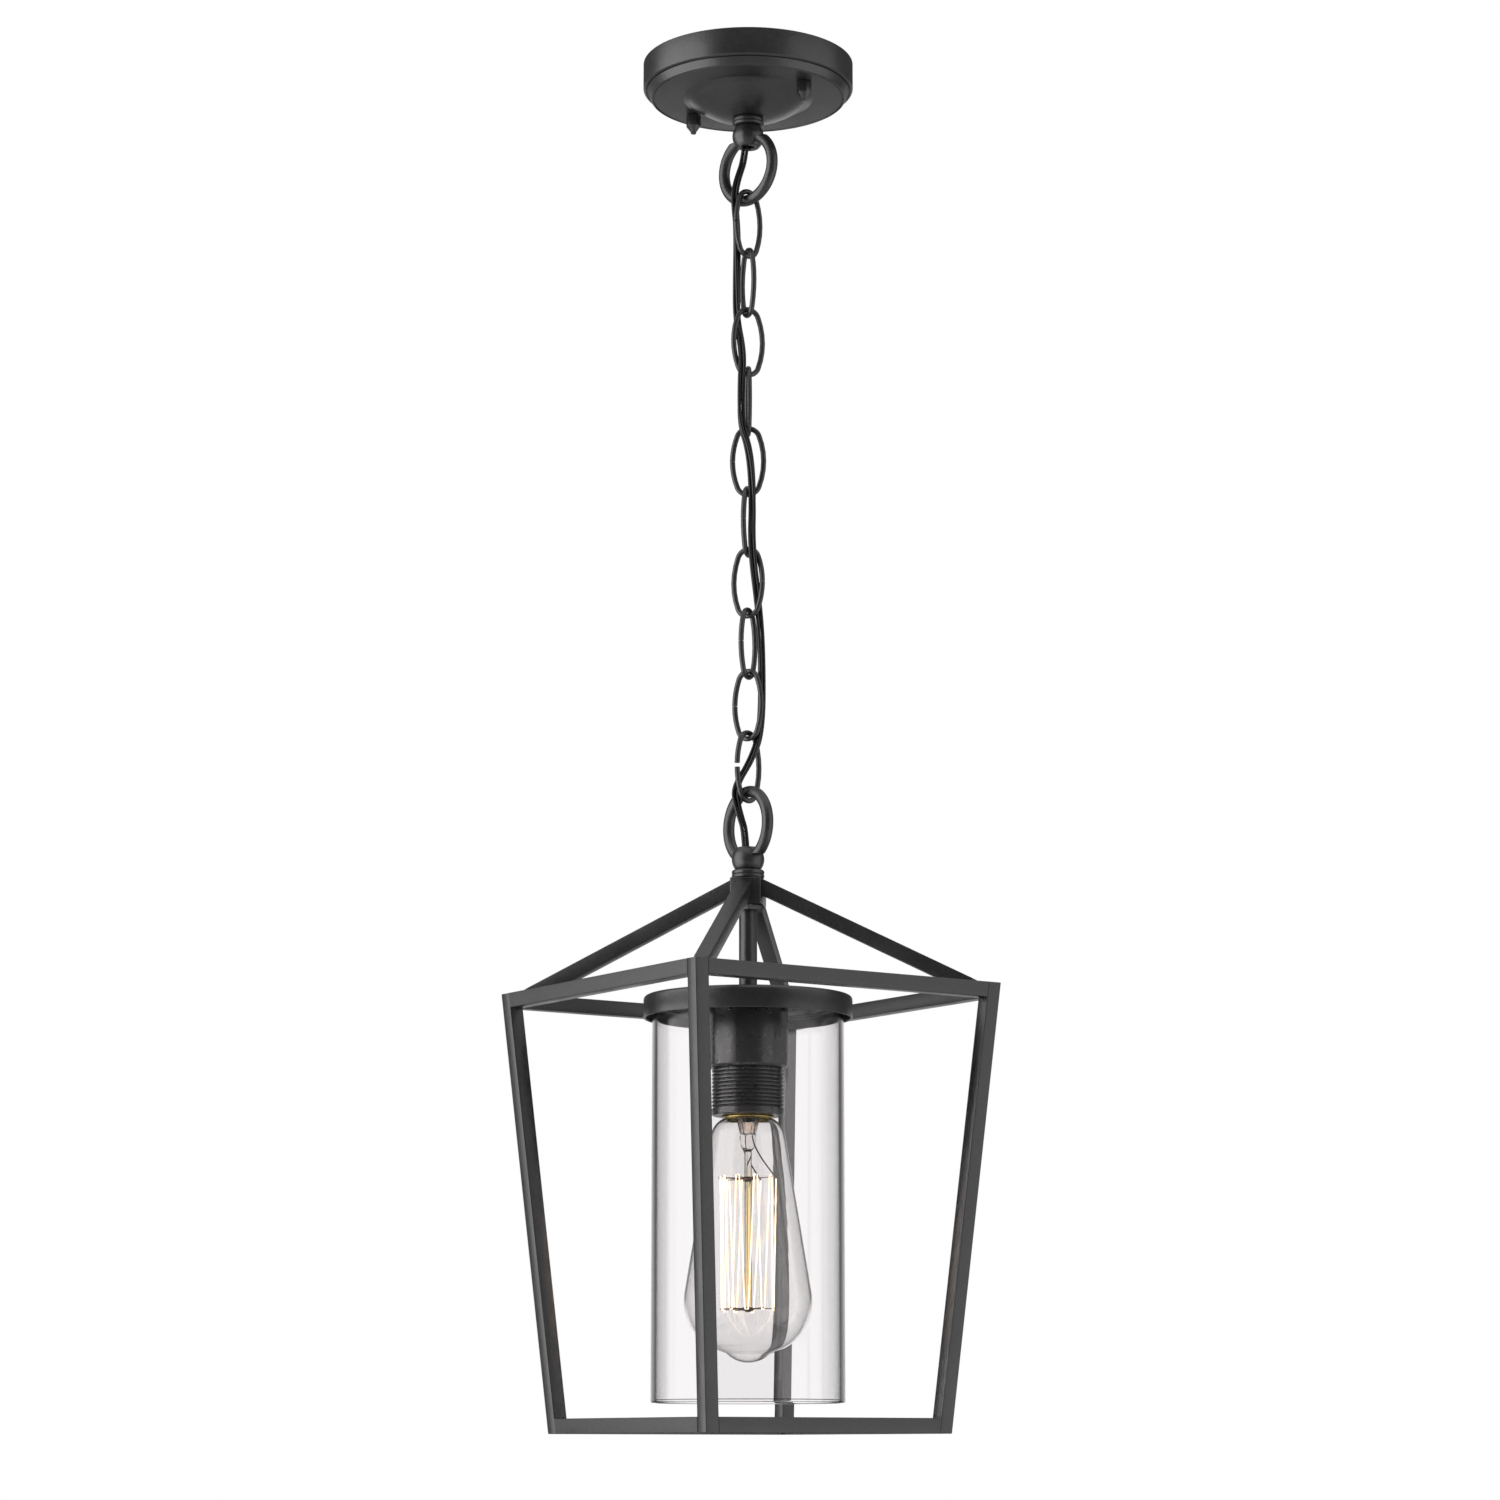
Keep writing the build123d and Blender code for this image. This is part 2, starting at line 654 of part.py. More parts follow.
def bulb_surface(inset):
    """The closed outline of the bulb, drawn in from the outer glass by the inset."""
    neck = bulb_neck_radius - inset
    shoulder = shoulder_arc - inset
    belly = bulb_belly_arc - inset
    neck_foot = shoulder_middle + (shoulder**2 - (neck - shoulder_centre) ** 2) ** 0.5
    taper_head = (
        shoulder_centre + shoulder * cos(taper_angle),
        shoulder_middle + shoulder * sin(taper_angle),
    )
    taper_foot = (belly_centre + belly * cos(taper_angle), bulb_belly + belly * sin(taper_angle))
    belly_foot = (belly_centre + belly * cos(bulb_foot_angle), bulb_belly + belly * sin(bulb_foot_angle))
    shoulder_half = (taper_angle + atan2(neck_foot - shoulder_middle, neck - shoulder_centre)) / 2
    shoulder_crown = (
        shoulder_centre + shoulder * cos(shoulder_half),
        shoulder_middle + shoulder * sin(shoulder_half),
    )
    pip_round = pip_arc - inset
    pip = (pip_round * sin(pip_angle), pip_centre - pip_round * cos(pip_angle))
    pip_crown = (pip_round * sin(pip_angle / 2), pip_centre - pip_round * cos(pip_angle / 2))
    tip = (0, pip_centre - pip_round)
    Polyline((0, bulb_neck_top), (neck, bulb_neck_top), (neck, neck_foot))
    ThreePointArc((neck, neck_foot), shoulder_crown, taper_head)
    Line(taper_head, taper_foot)
    ThreePointArc(taper_foot, (belly_centre + belly, bulb_belly), belly_foot)
    Line(belly_foot, pip)
    ThreePointArc(pip, pip_crown, tip)
    Line(tip, (0, bulb_neck_top))


with BuildPart() as bulb_glass:
    with BuildSketch(Plane.XZ):
        with BuildLine():
            bulb_surface(0)
        make_face()
    revolve(axis=Axis.Z)
    with BuildSketch(Plane.XZ):
        with BuildLine():
            bulb_surface(bulb_wall)
        make_face()
    revolve(axis=Axis.Z, mode=Mode.SUBTRACT)
save(bulb_glass, "bulb_glass")

# Glass press and rod inside the bulb, and the two spiders that hold the filament
press_top = bulb_cap_bottom + bulb_neck_in_cap / 2
flare_radius = bulb_neck_radius - bulb_wall - seat_gap
rod_bottom = bulb_cap_bottom - filament_top_drop - filament_height - support_bead_height
with BuildPart() as bulb_stem:
    with BuildSketch(Plane.XZ):
        with BuildLine():
            Polyline(
                (0, press_top),
                (flare_radius, press_top),
                (flare_radius, press_top - bulb_wall),
                (press_flare_radius, press_top - press_flange_depth),
                (press_flare_radius, bulb_cap_bottom),
                (press_radius, bulb_cap_bottom - press_flare_length),
                (press_radius, bulb_cap_bottom - press_length + press_foot_height),
                (glass_rod_radius, bulb_cap_bottom - press_length),
                (glass_rod_radius, rod_bottom),
                (0, rod_bottom),
                close=True,
            )
        make_face()
    revolve(axis=Axis.Z)
save(bulb_stem, "bulb_stem")

filament_top = bulb_cap_bottom - filament_top_drop
filament_bottom = filament_top - filament_height
hook_step = filament_span / filament_hooks
top_hooks = [filament_turn + hook * hook_step for hook in range(1, filament_hooks)]
bottom_hooks = [filament_turn + (hook + 0.5) * hook_step for hook in range(filament_hooks)]
spiders = (
    (filament_top, filament_top_radius + support_overhang, top_hooks),
    (filament_bottom, filament_bottom_radius + support_overhang, bottom_hooks),
)
with BuildPart() as filament_supports:
    for height, reach, hook_turns in spiders:
        with Locations((0, 0, height)):
            Cylinder(support_bead_radius, support_bead_height)
        for hook_turn in hook_turns:
            with BuildSketch(upright_plane(hook_turn + 90, height)):
                Circle(support_wire_radius)
            extrude(amount=reach)
        with Locations((0, 0, height)):
            Cylinder(glass_rod_radius + thread_gap, support_bead_height, mode=Mode.SUBTRACT)
save(filament_supports, "filament_supports")

# Filament: one wire that runs up and down over the hooks, most of the way round the rod, from lead to lead
hook_clear = support_wire_radius + filament_wire_radius + thread_gap
top_bend = filament_top + hook_clear
bottom_bend = filament_bottom - hook_clear


def around(radius, turn, height):
    """A point at a radius and turn about the hang line."""
    return (radius * cos(radians(turn)), radius * sin(radians(turn)), height)


last_turn = filament_turn + filament_span
first_end = around(filament_top_radius, filament_turn, filament_top)
last_end = around(filament_top_radius, last_turn, filament_top)
filament_points = [first_end]
for hook in range(filament_hooks):
    bottom_half = degrees(filament_hook_half_width / filament_bottom_radius)
    for side in (-bottom_half, bottom_half):
        filament_points.append(around(filament_bottom_radius, bottom_hooks[hook] + side, bottom_bend))
    if hook < len(top_hooks):
        top_half = degrees(filament_hook_half_width / filament_top_radius)
        for side in (-top_half, top_half):
            filament_points.append(around(filament_top_radius, top_hooks[hook] + side, top_bend))
filament_points.append(last_end)
with BuildPart() as filament:
    with BuildLine() as filament_line:
        FilletPolyline(*filament_points, radius=filament_bend_radius)
    with BuildSketch(Plane(origin=filament_line.line @ 0, z_dir=filament_line.line % 0)):
        Circle(filament_wire_radius)
    sweep()
save(filament, "filament")

lead_root_height = bulb_cap_bottom - press_flare_length - seat_gap
lead_knee_height = bulb_cap_bottom - press_length
lead_end_height = filament_top + hook_clear + seat_gap
with BuildPart() as lead_wires:
    for root_turn, end_turn in zip(lead_root_turns, (filament_turn, last_turn)):
        lead_root = around(press_radius + lead_wire_radius, root_turn, lead_root_height)
        lead_knee = around(press_radius + lead_wire_radius, root_turn, lead_knee_height)
        lead_end = around(filament_top_radius, end_turn, lead_end_height)
        with BuildLine() as lead_line:
            FilletPolyline(lead_root, lead_knee, lead_end, radius=lead_bend_radius)
        with BuildSketch(Plane(origin=lead_line.line @ 0, z_dir=lead_line.line % 0)):
            Circle(lead_wire_radius)
        sweep(path=lead_line.line)
save(lead_wires, "lead_wires")

# Supply wires, from the canopy through the nipple and the loops to the lamp holder
for strand, name in enumerate(("live_wire", "neutral_wire", "earth_wire")):
    strand_points = []
    for step, (x, y, z) in enumerate(supply_route):
        lay = radians(120 * strand + supply_lay_step * min(max(step, 1), len(supply_route) - 2))
        strand_points.append((x + supply_lay_radius * cos(lay), y + supply_lay_radius * sin(lay), z))
    runs = [Vector(end) - Vector(start) for start, end in zip(strand_points, strand_points[1:])]
    bends = []
    for before, after in zip(runs, runs[1:]):
        half_bend = radians(before.get_angle(after)) / 2
        bends.append(supply_bend_share * min(before.length, after.length) / tan(half_bend))
    with BuildPart() as supply_wire:
        with BuildLine() as route:
            FilletPolyline(*strand_points, radius=bends)
        with BuildSketch(Plane(origin=route.line @ 0, z_dir=route.line % 0)):
            Circle(supply_wire_radius)
        sweep()
    save(supply_wire, name)
    run_length = sum(edge.length for edge in route.edges())
    print(name, "length", round(run_length), "bends", [round(bend) for bend in bends])
    print(name, "volume", round(supply_wire.part.volume), round(pi * supply_wire_radius**2 * run_length))
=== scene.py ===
"""Dress the hanging lantern: canopy, link chain, supply wires, tapered cage, glass and lamp.

Sizes are in millimetres in the fields and become metres in the meshes. The origin is the centre of
the canopy's rim, on the ceiling, and everything hangs down along -Z.
"""

import json
import logging
from contextlib import contextmanager
from dataclasses import dataclass
from enum import Enum
from math import acos, asin, atan2, cos, degrees, pi, radians, sin, sqrt
from typing import Callable, Iterator, Optional, Sequence, Union

import bpy
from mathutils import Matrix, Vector

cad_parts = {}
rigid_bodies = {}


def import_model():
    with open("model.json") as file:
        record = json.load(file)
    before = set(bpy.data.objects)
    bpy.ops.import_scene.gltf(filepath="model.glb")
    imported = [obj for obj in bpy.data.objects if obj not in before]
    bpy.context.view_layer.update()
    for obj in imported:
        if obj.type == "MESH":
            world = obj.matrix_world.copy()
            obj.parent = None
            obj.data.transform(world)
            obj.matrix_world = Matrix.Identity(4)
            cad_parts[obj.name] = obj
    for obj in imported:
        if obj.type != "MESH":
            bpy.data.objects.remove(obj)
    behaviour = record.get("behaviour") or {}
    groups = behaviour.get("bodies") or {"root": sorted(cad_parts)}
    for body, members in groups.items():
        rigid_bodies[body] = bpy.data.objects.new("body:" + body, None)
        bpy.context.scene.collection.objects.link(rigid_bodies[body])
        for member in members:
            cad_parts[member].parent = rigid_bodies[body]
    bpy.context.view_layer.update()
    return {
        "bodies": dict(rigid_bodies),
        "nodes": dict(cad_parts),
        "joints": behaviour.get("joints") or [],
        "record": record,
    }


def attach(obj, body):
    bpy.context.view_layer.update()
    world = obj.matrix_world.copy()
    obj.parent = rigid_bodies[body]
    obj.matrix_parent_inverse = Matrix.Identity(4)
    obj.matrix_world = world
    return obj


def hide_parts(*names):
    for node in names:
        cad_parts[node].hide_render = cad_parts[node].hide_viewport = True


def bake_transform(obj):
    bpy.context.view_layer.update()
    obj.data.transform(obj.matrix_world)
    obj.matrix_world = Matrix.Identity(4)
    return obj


# Metres in a millimetre
MM = 0.001
# Metres between corners that are merged, and between places that count as the same
WELD = 2e-6
TOUCH = 1e-5
# Metres from a cut within which a corner counts as on it
ON_CUT = 1e-7
# Degrees between faces that count as flat
FLAT = 2.0
# A face looks down where its normal's height is less than this
DOWNWARD = -0.9
# The largest share of a side that a rounded corner takes up
CORNER_SHARE = 0.49
# The range that most of a noise lies in
NOISE_SPAN = (0.3, 0.7)
# Radius in millimetres of the holes that fit the stem and the nipple
STEM_FIT = 5.12

LOG = logging.getLogger("lantern")
Point2 = tuple[float, float]
Point3 = tuple[float, float, float]
Corner = tuple[float, float, float]
Colour = tuple[float, float, float]
Piece = bpy.types.Object
Node = bpy.types.Node
Socket = bpy.types.NodeSocket
Value = Union[float, Sequence[float], Socket]
Recipe = dict[str, Value]


class Slot(Enum):
    """Material slots of the part, by the name that the record gives them."""

    BLACK_METAL = "black_metal"
    ZINC_STEEL = "zinc_steel"
    GREEN_SCREW = "green_screw"
    CLEAR_GLASS = "clear_glass"
    BULB_GLASS = "bulb_glass"
    SOFT_WASHER = "soft_washer"
    BLACK_RESIN = "black_resin"
    BRASS = "brass"
    SOLDER = "solder"
    FILAMENT = "filament"
    SUPPORT_WIRE = "support_wire"
    WIRE_SLEEVE = "wire_sleeve"


class Way(Enum):
    """Which way something points along the hang line."""

    DOWN = -1
    UP = 1


class Grip(Enum):
    """What is picked in edit mode."""

    CORNERS = "VERT"
    EDGES = "EDGE"
    FACES = "FACE"


# Materials


class NodeBench:
    """A node tree, with short ways to add and join its nodes."""

    def __init__(self, tree: bpy.types.NodeTree) -> None:
        """Take up a tree and give it texture coordinates.

        Args:
            tree: the tree of a material or of the world.
        """
        self.tree = tree
        self.coordinates = tree.nodes.new("ShaderNodeTexCoord")

    def put(self, value: Value, socket: Socket) -> None:
        """Join a socket to what gives its value, or set a constant on it.

        Args:
            value: another node's socket, or a constant.
            socket: the socket to fill.
        """
        if isinstance(value, Socket):
            self.tree.links.new(value, socket)
        else:
            socket.default_value = value

    def fill(self, node: Node, **sockets: Value) -> Node:
        """Fill sockets of a node.

        Args:
            node: the node.
            sockets: what goes into each, with underscores for the spaces in its name.

        Returns:
            The same node.
        """
        for name, value in sockets.items():
            self.put(value, node.inputs[name.replace("_", " ")])
        return node

    def add(self, kind: str, **sockets: Value) -> Node:
        """Add a shader node of a kind, with its sockets filled."""
        return self.fill(self.tree.nodes.new(f"ShaderNode{kind}"), **sockets)

    def noise(self, scale: float, detail: float = 3.0, rough: float = 0.55) -> Socket:
        """Add a noise in object space.

        Args:
            scale: noise cells per metre.
            detail: octaves of the noise.
            rough: how strong the finer octaves are.

        Returns:
            The socket of its value.
        """
        place = self.coordinates.outputs["Object"]
        node = self.add("TexNoise", Vector=place, Scale=scale, Detail=detail, Roughness=rough)
        return node.outputs["Fac"]

    def ramp(self, source: Socket, *stops: tuple[float, Colour]) -> Socket:
        """Map a factor to colours.

        Args:
            source: the factor.
            stops: factors with their colours, in rising order.

        Returns:
            The socket of the colour.
        """
        node = self.add("ValToRGB", Fac=source)
        elements = node.color_ramp.elements
        while len(elements) < len(stops):
            elements.new(0.5)
        for element, (factor, colour) in zip(elements, stops):
            element.position = factor
            element.color = (*colour, 1.0)
        return node.outputs["Color"]

    def remap(
        self, source: Socket, start: Point2, end: tuple[Value, Value] = (0.0, 1.0), soft: bool = False
    ) -> Socket:
        """Map one range of values to another, and stop at its ends.

        Args:
            source: the value to map.
            start: the range that it comes from.
            end: the range that it goes to.
            soft: whether it leaves and meets the ends softly.

        Returns:
            The socket of the mapped value.
        """
        node = self.add(
            "MapRange", Value=source, From_Min=start[0], From_Max=start[1], To_Min=end[0], To_Max=end[1]
        )
        if soft:
            node.interpolation_type = "SMOOTHSTEP"
        return node.outputs["Result"]

    def height(self, low: float, high: float) -> Socket:
        """Map heights in object space, in millimetres, to a factor from 0 to 1."""
        split = self.add("SeparateXYZ", Vector=self.coordinates.outputs["Object"])
        return self.remap(split.outputs["Z"], (low * MM, high * MM))

    def bump(self, source: Socket, height: float, strength: float) -> Socket:
        """Raise the surface by a height map.

        Args:
            source: the height, from 0 to 1.
            height: the height of a full step in millimetres.
            strength: how much of the bump shows.

        Returns:
            The socket of the raised surface's normal.
        """
        node = self.add("Bump", Height=source, Distance=height * MM, Strength=strength)
        return node.outputs["Normal"]

    def work_out(self, kind: str, operation: str, *values: Value) -> Node:
        """Work out one value from others.

        Args:
            kind: Math for numbers, or VectorMath for directions.
            operation: the operation's name.
            values: the values that it takes, in turn.

        Returns:
            The node that works it out.
        """
        node = self.add(kind)
        node.operation = operation
        for socket, value in zip(node.inputs, values):
            self.put(value, socket)
        return node

    def combine(self, operation: str, one: Value, other: Value) -> Socket:
        """Work out one number from two, kept between 0 and 1.

        Args:
            operation: the operation's name.
            one: the first number.
            other: the second number.

        Returns:
            The socket of the result.
        """
        node = self.work_out("Math", operation, one, other)
        node.use_clamp = True
        return node.outputs["Value"]

    def seen_straight(self) -> Socket:
        """Tell what the eye sees, plainly or through clear glass, from what only lights the lantern.

        Returns:
            The socket that is 1 for what is seen.
        """
        path = self.add("LightPath").outputs
        bounced = self.combine("ADD", path["Diffuse Depth"], path["Glossy Depth"])
        clear = self.combine("SUBTRACT", 1.0, bounced)
        through = self.combine("MULTIPLY", path["Is Transmission Ray"], clear)
        return self.combine("MAXIMUM", path["Is Camera Ray"], through)


@dataclass(frozen=True)
class Finish:
    """What every finish shares: its name, and the way it becomes a material."""

    name: str

    def mix(self, bench: NodeBench) -> Recipe:
        """Add the finish's own nodes.

        Args:
            bench: the material's node tree.

        Returns:
            What fills each socket of the principled shader.
        """
        raise NotImplementedError

    def make(self) -> bpy.types.Material:
        """Build the material.

        Returns:
            The material.
        """
        material = bpy.data.materials.new(self.name)
        material.use_nodes = True
        bench = NodeBench(material.node_tree)
        bench.fill(bench.tree.nodes["Principled BSDF"], **self.mix(bench))
        return material


@dataclass(frozen=True)
class PowderCoat(Finish):
    """Matte baked coating with an orange-peel grain and a slightly uneven sheen."""

    name: str = "powder_coat"
    dark: Colour = (0.006, 0.0059, 0.006)
    light: Colour = (0.022, 0.0215, 0.0218)
    speckle: Point2 = (0.32, 0.68)
    roughness: Point2 = (0.28, 0.4)
    sheen_per_m: float = 42.0
    ior: float = 1.75
    gloss: float = 0.85
    grain_per_mm: float = 0.62
    grain_height: float = 0.16
    grain_strength: float = 0.6

    def mix(self, bench: NodeBench) -> Recipe:
        """Speckle the coat and raise its grain.

        Args:
            bench: the material's node tree.

        Returns:
            What fills each socket of the principled shader.
        """
        sheen = bench.noise(self.sheen_per_m, detail=4.0)
        grain = bench.noise(self.grain_per_mm / MM)
        return {
            "Base_Color": bench.ramp(grain, *zip(self.speckle, (self.dark, self.light))),
            "Roughness": bench.remap(sheen, NOISE_SPAN, self.roughness),
            "Normal": bench.bump(grain, self.grain_height, self.grain_strength),
            "IOR": self.ior,
            "Specular_IOR_Level": self.gloss,
        }


@dataclass(frozen=True)
class Glass(Finish):
    """Clear blown or drawn glass with a faint waviness, and grey lines of painted shade along a polished
    bead.
    """

    tint: Colour
    depth_colour: Colour
    depth_per_m: float
    wave_per_m: float
    wave_height: float
    wave_strength: float = 0.4
    ior: float = 1.46
    bead: Optional[Point2] = None
    rim_shade_lines: Point3 = (0.2, 0.66, 0.9)
    rim_shade_blur: float = 0.02
    rim_shade_tint: Colour = (0.2, 0.2, 0.21)

    def rim_shade_stops(self) -> list[tuple[float, Colour]]:
        """Colours up the bead: grey painted shade below its first line and between the other two.

        Returns:
            Shares of the bead's height with their colours.
        """
        tones = (self.rim_shade_tint, self.tint, self.rim_shade_tint, self.tint)
        stops = []
        for line, below, above in zip(self.rim_shade_lines, tones, tones[1:]):
            stops += [(line - self.rim_shade_blur, below), (line + self.rim_shade_blur, above)]
        return stops

    def mix(self, bench: NodeBench) -> Recipe:
        """Ripple the glass, and deepen its colour along the wall.

        Args:
            bench: the material's node tree.

        Returns:
            What fills each socket of the principled shader.
        """
        wave = bench.noise(self.wave_per_m, detail=1.0)
        recipe = {
            "Base_Color": (*self.tint, 1.0),
            "Normal": bench.bump(wave, self.wave_height, self.wave_strength),
            "Roughness": 0.0,
            "IOR": self.ior,
            "Transmission_Weight": 1.0,
        }
        # The bead's grey lines are painted shade on the clear rim
        if self.bead:
            recipe["Base_Color"] = bench.ramp(bench.height(*self.bead), *self.rim_shade_stops())
        depth = bench.add("VolumeAbsorption", Color=(*self.depth_colour, 1.0), Density=self.depth_per_m)
        bench.fill(bench.tree.nodes["Material Output"], Volume=depth.outputs["Volume"])
        return recipe


@dataclass(frozen=True)
class StemGlass(Finish):
    """Glass of the bulb's stem: copper in the press, clear below it, and painted warm light that turns the
    clear rod golden.
    """

    name: str = "stem_glass"
    low: float = -706.0
    high: float = -600.0
    copper: Colour = (0.95, 0.85, 0.77)
    clear: Colour = (0.97, 0.94, 0.92)
    # Painted warm light on the clear rod, beside the glowing filament
    rod_glow: Colour = (0.97, 0.84, 0.5)
    rod_glow_to: float = 0.62
    clear_span: Point2 = (0.74, 0.87)
    copper_from: float = 0.92
    wave_per_m: float = 180.0
    wave_height: float = 0.1
    wave_strength: float = 0.4
    roughness: float = 0.02
    ior: float = 1.45

    def mix(self, bench: NodeBench) -> Recipe:
        """Colour the glass by its height, and ripple it.

        Args:
            bench: the material's node tree.

        Returns:
            What fills each socket of the principled shader.
        """
        # The gold down the clear rod is painted warm light, not the glass's own colour
        stops = [(0.0, self.rod_glow), (self.rod_glow_to, self.rod_glow)]
        stops += [(share, self.clear) for share in self.clear_span]
        stops.append((self.copper_from, self.copper))
        wave = bench.noise(self.wave_per_m, detail=1.0)
        return {
            "Base_Color": bench.ramp(bench.height(self.low, self.high), *stops),
            "Normal": bench.bump(wave, self.wave_height, self.wave_strength),
            "Roughness": self.roughness,
            "IOR": self.ior,
            "Transmission_Weight": 1.0,
        }


@dataclass(frozen=True)
class BareMetal(Finish):
    """Plated or bare metal with fine handling marks, rougher where it is dull."""

    bright: Colour
    dull: Colour
    roughness: float
    marks_per_mm: float = 0.6
    marks_span: Point2 = (0.35, 0.65)
    marks_height: float = 0.02
    marks_strength: float = 0.4
    dull_rougher: float = 0.12
    bright_smoother: float = 0.04

    def mix(self, bench: NodeBench) -> Recipe:
        """Mark the metal in its tone, its roughness and its surface.

        Args:
            bench: the material's node tree.

        Returns:
            What fills each socket of the principled shader.
        """
        marks = bench.noise(self.marks_per_mm / MM, detail=5.0, rough=0.65)
        roughness = (self.roughness + self.dull_rougher, self.roughness - self.bright_smoother)
        return {
            "Base_Color": bench.ramp(marks, *zip(self.marks_span, (self.dull, self.bright))),
            "Roughness": bench.remap(marks, NOISE_SPAN, roughness),
            "Normal": bench.bump(marks, self.marks_height, self.marks_strength),
            "Metallic": 1.0,
        }


@dataclass(frozen=True)
class Moulded(Finish):
    """Moulded resin, rubber or wire sleeve: a plain colour with a fine skin."""

    dark: Colour
    light: Colour
    roughness: float
    skin_per_mm: float
    skin_height: float
    skin_strength: float = 0.5
    tone_share: float = 0.12
    smoother: float = 0.04
    rougher: float = 0.06
    coat: float = 0.0
    coat_roughness: float = 0.2
    gloss: float = 0.5
    ior: float = 1.5

    def mix(self, bench: NodeBench) -> Recipe:
        """Vary the tone and the roughness together, and raise the skin.

        Args:
            bench: the material's node tree.

        Returns:
            What fills each socket of the principled shader.
        """
        tone = bench.noise(self.skin_per_mm * self.tone_share / MM)
        skin = bench.noise(self.skin_per_mm / MM, detail=2.0)
        roughness = (self.roughness - self.smoother, self.roughness + self.rougher)
        return {
            "Base_Color": bench.ramp(tone, *zip(NOISE_SPAN, (self.dark, self.light))),
            "Roughness": bench.remap(tone, NOISE_SPAN, roughness),
            "Normal": bench.bump(skin, self.skin_height, self.skin_strength),
            "Coat_Weight": self.coat,
            "Coat_Roughness": self.coat_roughness,
            "Specular_IOR_Level": self.gloss,
            "IOR": self.ior,
        }


@dataclass(frozen=True)
class Glow(Finish):
    """Wire that glows, hotter in some stretches than in others."""

    name: str = "hot_filament"
    cool: Colour = (1.0, 0.71, 0.47)
    hot: Colour = (1.0, 0.86, 0.7)
    heat_span: Point2 = (0.3, 0.62)
    heat_per_m: float = 160.0
    strength: float = 2.0
    wire: Colour = (0.9, 0.6, 0.3)
    roughness: float = 0.6

    def mix(self, bench: NodeBench) -> Recipe:
        """Light the wire up.

        Args:
            bench: the material's node tree.

        Returns:
            What fills each socket of the principled shader.
        """
        heat = bench.noise(self.heat_per_m, detail=2.0)
        return {
            "Base_Color": (*self.wire, 1.0),
            "Roughness": self.roughness,
            "Emission_Color": bench.ramp(heat, *zip(self.heat_span, (self.cool, self.hot))),
            "Emission_Strength": self.strength,
        }


@dataclass(frozen=True)
class PaleFloor(Finish):
    """Matte pale floor that is lifted to white for the eye alone."""

    name: str = "pale_floor"
    dark: Colour = (0.93, 0.93, 0.93)
    light: Colour = (0.96, 0.96, 0.96)
    grain_per_m: float = 3.0
    roughness: float = 0.9
    gloss: float = 0.1
    lift: float = 0.8

    def mix(self, bench: NodeBench) -> Recipe:
        """Cloud the floor, and lift what is seen of it.

        Args:
            bench: the material's node tree.

        Returns:
            What fills each socket of the principled shader.
        """
        grain = bench.noise(self.grain_per_m)
        return {
            "Base_Color": bench.ramp(grain, *zip(NOISE_SPAN, (self.dark, self.light))),
            "Roughness": self.roughness,
            "Specular_IOR_Level": self.gloss,
            "Emission_Color": (1.0, 1.0, 1.0, 1.0),
            "Emission_Strength": bench.remap(bench.seen_straight(), (0.0, 1.0), (0.0, self.lift)),
        }


class Paintbox:
    """All the finishes of the lantern, one material for each slot."""

    def __init__(self) -> None:
        """Build one material for each slot, and one for the bulb's stem."""
        finishes: dict[Slot, Finish] = {
            Slot.BLACK_METAL: PowderCoat(),
            Slot.ZINC_STEEL: BareMetal("zinc_plate", (0.66, 0.66, 0.63), (0.5, 0.5, 0.47), 0.34),
            Slot.GREEN_SCREW: Moulded(
                "green_lacquer", (0.03, 0.2, 0.06), (0.05, 0.26, 0.08), 0.3, 3.0, 0.01, coat=0.5
            ),
            Slot.CLEAR_GLASS: Glass(
                name="drawn_glass",
                tint=(0.98, 0.968, 0.975),
                depth_colour=(0.42, 0.3, 0.38),
                depth_per_m=4.0,
                wave_per_m=14.0,
                wave_height=0.012,
                # The rim's bead, where grey lines of painted shade go
                bead=(-756.9, -754.9),
            ),
            Slot.BULB_GLASS: Glass(
                "blown_glass", (0.988, 0.982, 0.975), (0.25, 0.2, 0.18), 20.0, 40.0, 0.02
            ),
            Slot.SOFT_WASHER: Moulded(
                "soft_rubber", (0.02, 0.02, 0.02), (0.035, 0.035, 0.034), 0.7, 1.5, 0.04
            ),
            Slot.BLACK_RESIN: Moulded(
                name="satin_resin",
                dark=(0.024, 0.0215, 0.022),
                light=(0.028, 0.025, 0.0255),
                roughness=0.29,
                skin_per_mm=2.0,
                skin_height=0.002,
                gloss=1.0,
                ior=1.75,
            ),
            Slot.BRASS: BareMetal("stamped_brass", (1.0, 0.8, 0.3), (0.92, 0.7, 0.22), 0.28),
            Slot.SOLDER: BareMetal("dull_solder", (0.6, 0.6, 0.58), (0.45, 0.45, 0.43), 0.4),
            Slot.FILAMENT: Glow(),
            Slot.SUPPORT_WIRE: BareMetal("drawn_wire", (0.3, 0.25, 0.2), (0.16, 0.13, 0.11), 0.4, 1.5),
            Slot.WIRE_SLEEVE: Moulded(
                "smooth_sleeve", (0.005, 0.005, 0.005), (0.009, 0.009, 0.009), 0.2, 0.5, 0.002, gloss=0.9
            ),
        }
        self.materials = {slot: finish.make() for slot, finish in finishes.items()}
        self.stem_glass = StemGlass().make()

    def dress(self, piece: Piece, slot: Slot, special: Optional[bpy.types.Material] = None) -> None:
        """Give a piece its slot's finish all over, or a special one instead."""
        piece.data.materials.clear()
        piece.data.materials.append(special or self.materials[slot])


# Modelling by hand


def fresh_start() -> None:
    """Leave edit mode and select nothing."""
    if bpy.context.object and bpy.context.object.mode != "OBJECT":
        bpy.ops.object.mode_set(mode="OBJECT")
    bpy.ops.object.select_all(action="DESELECT")


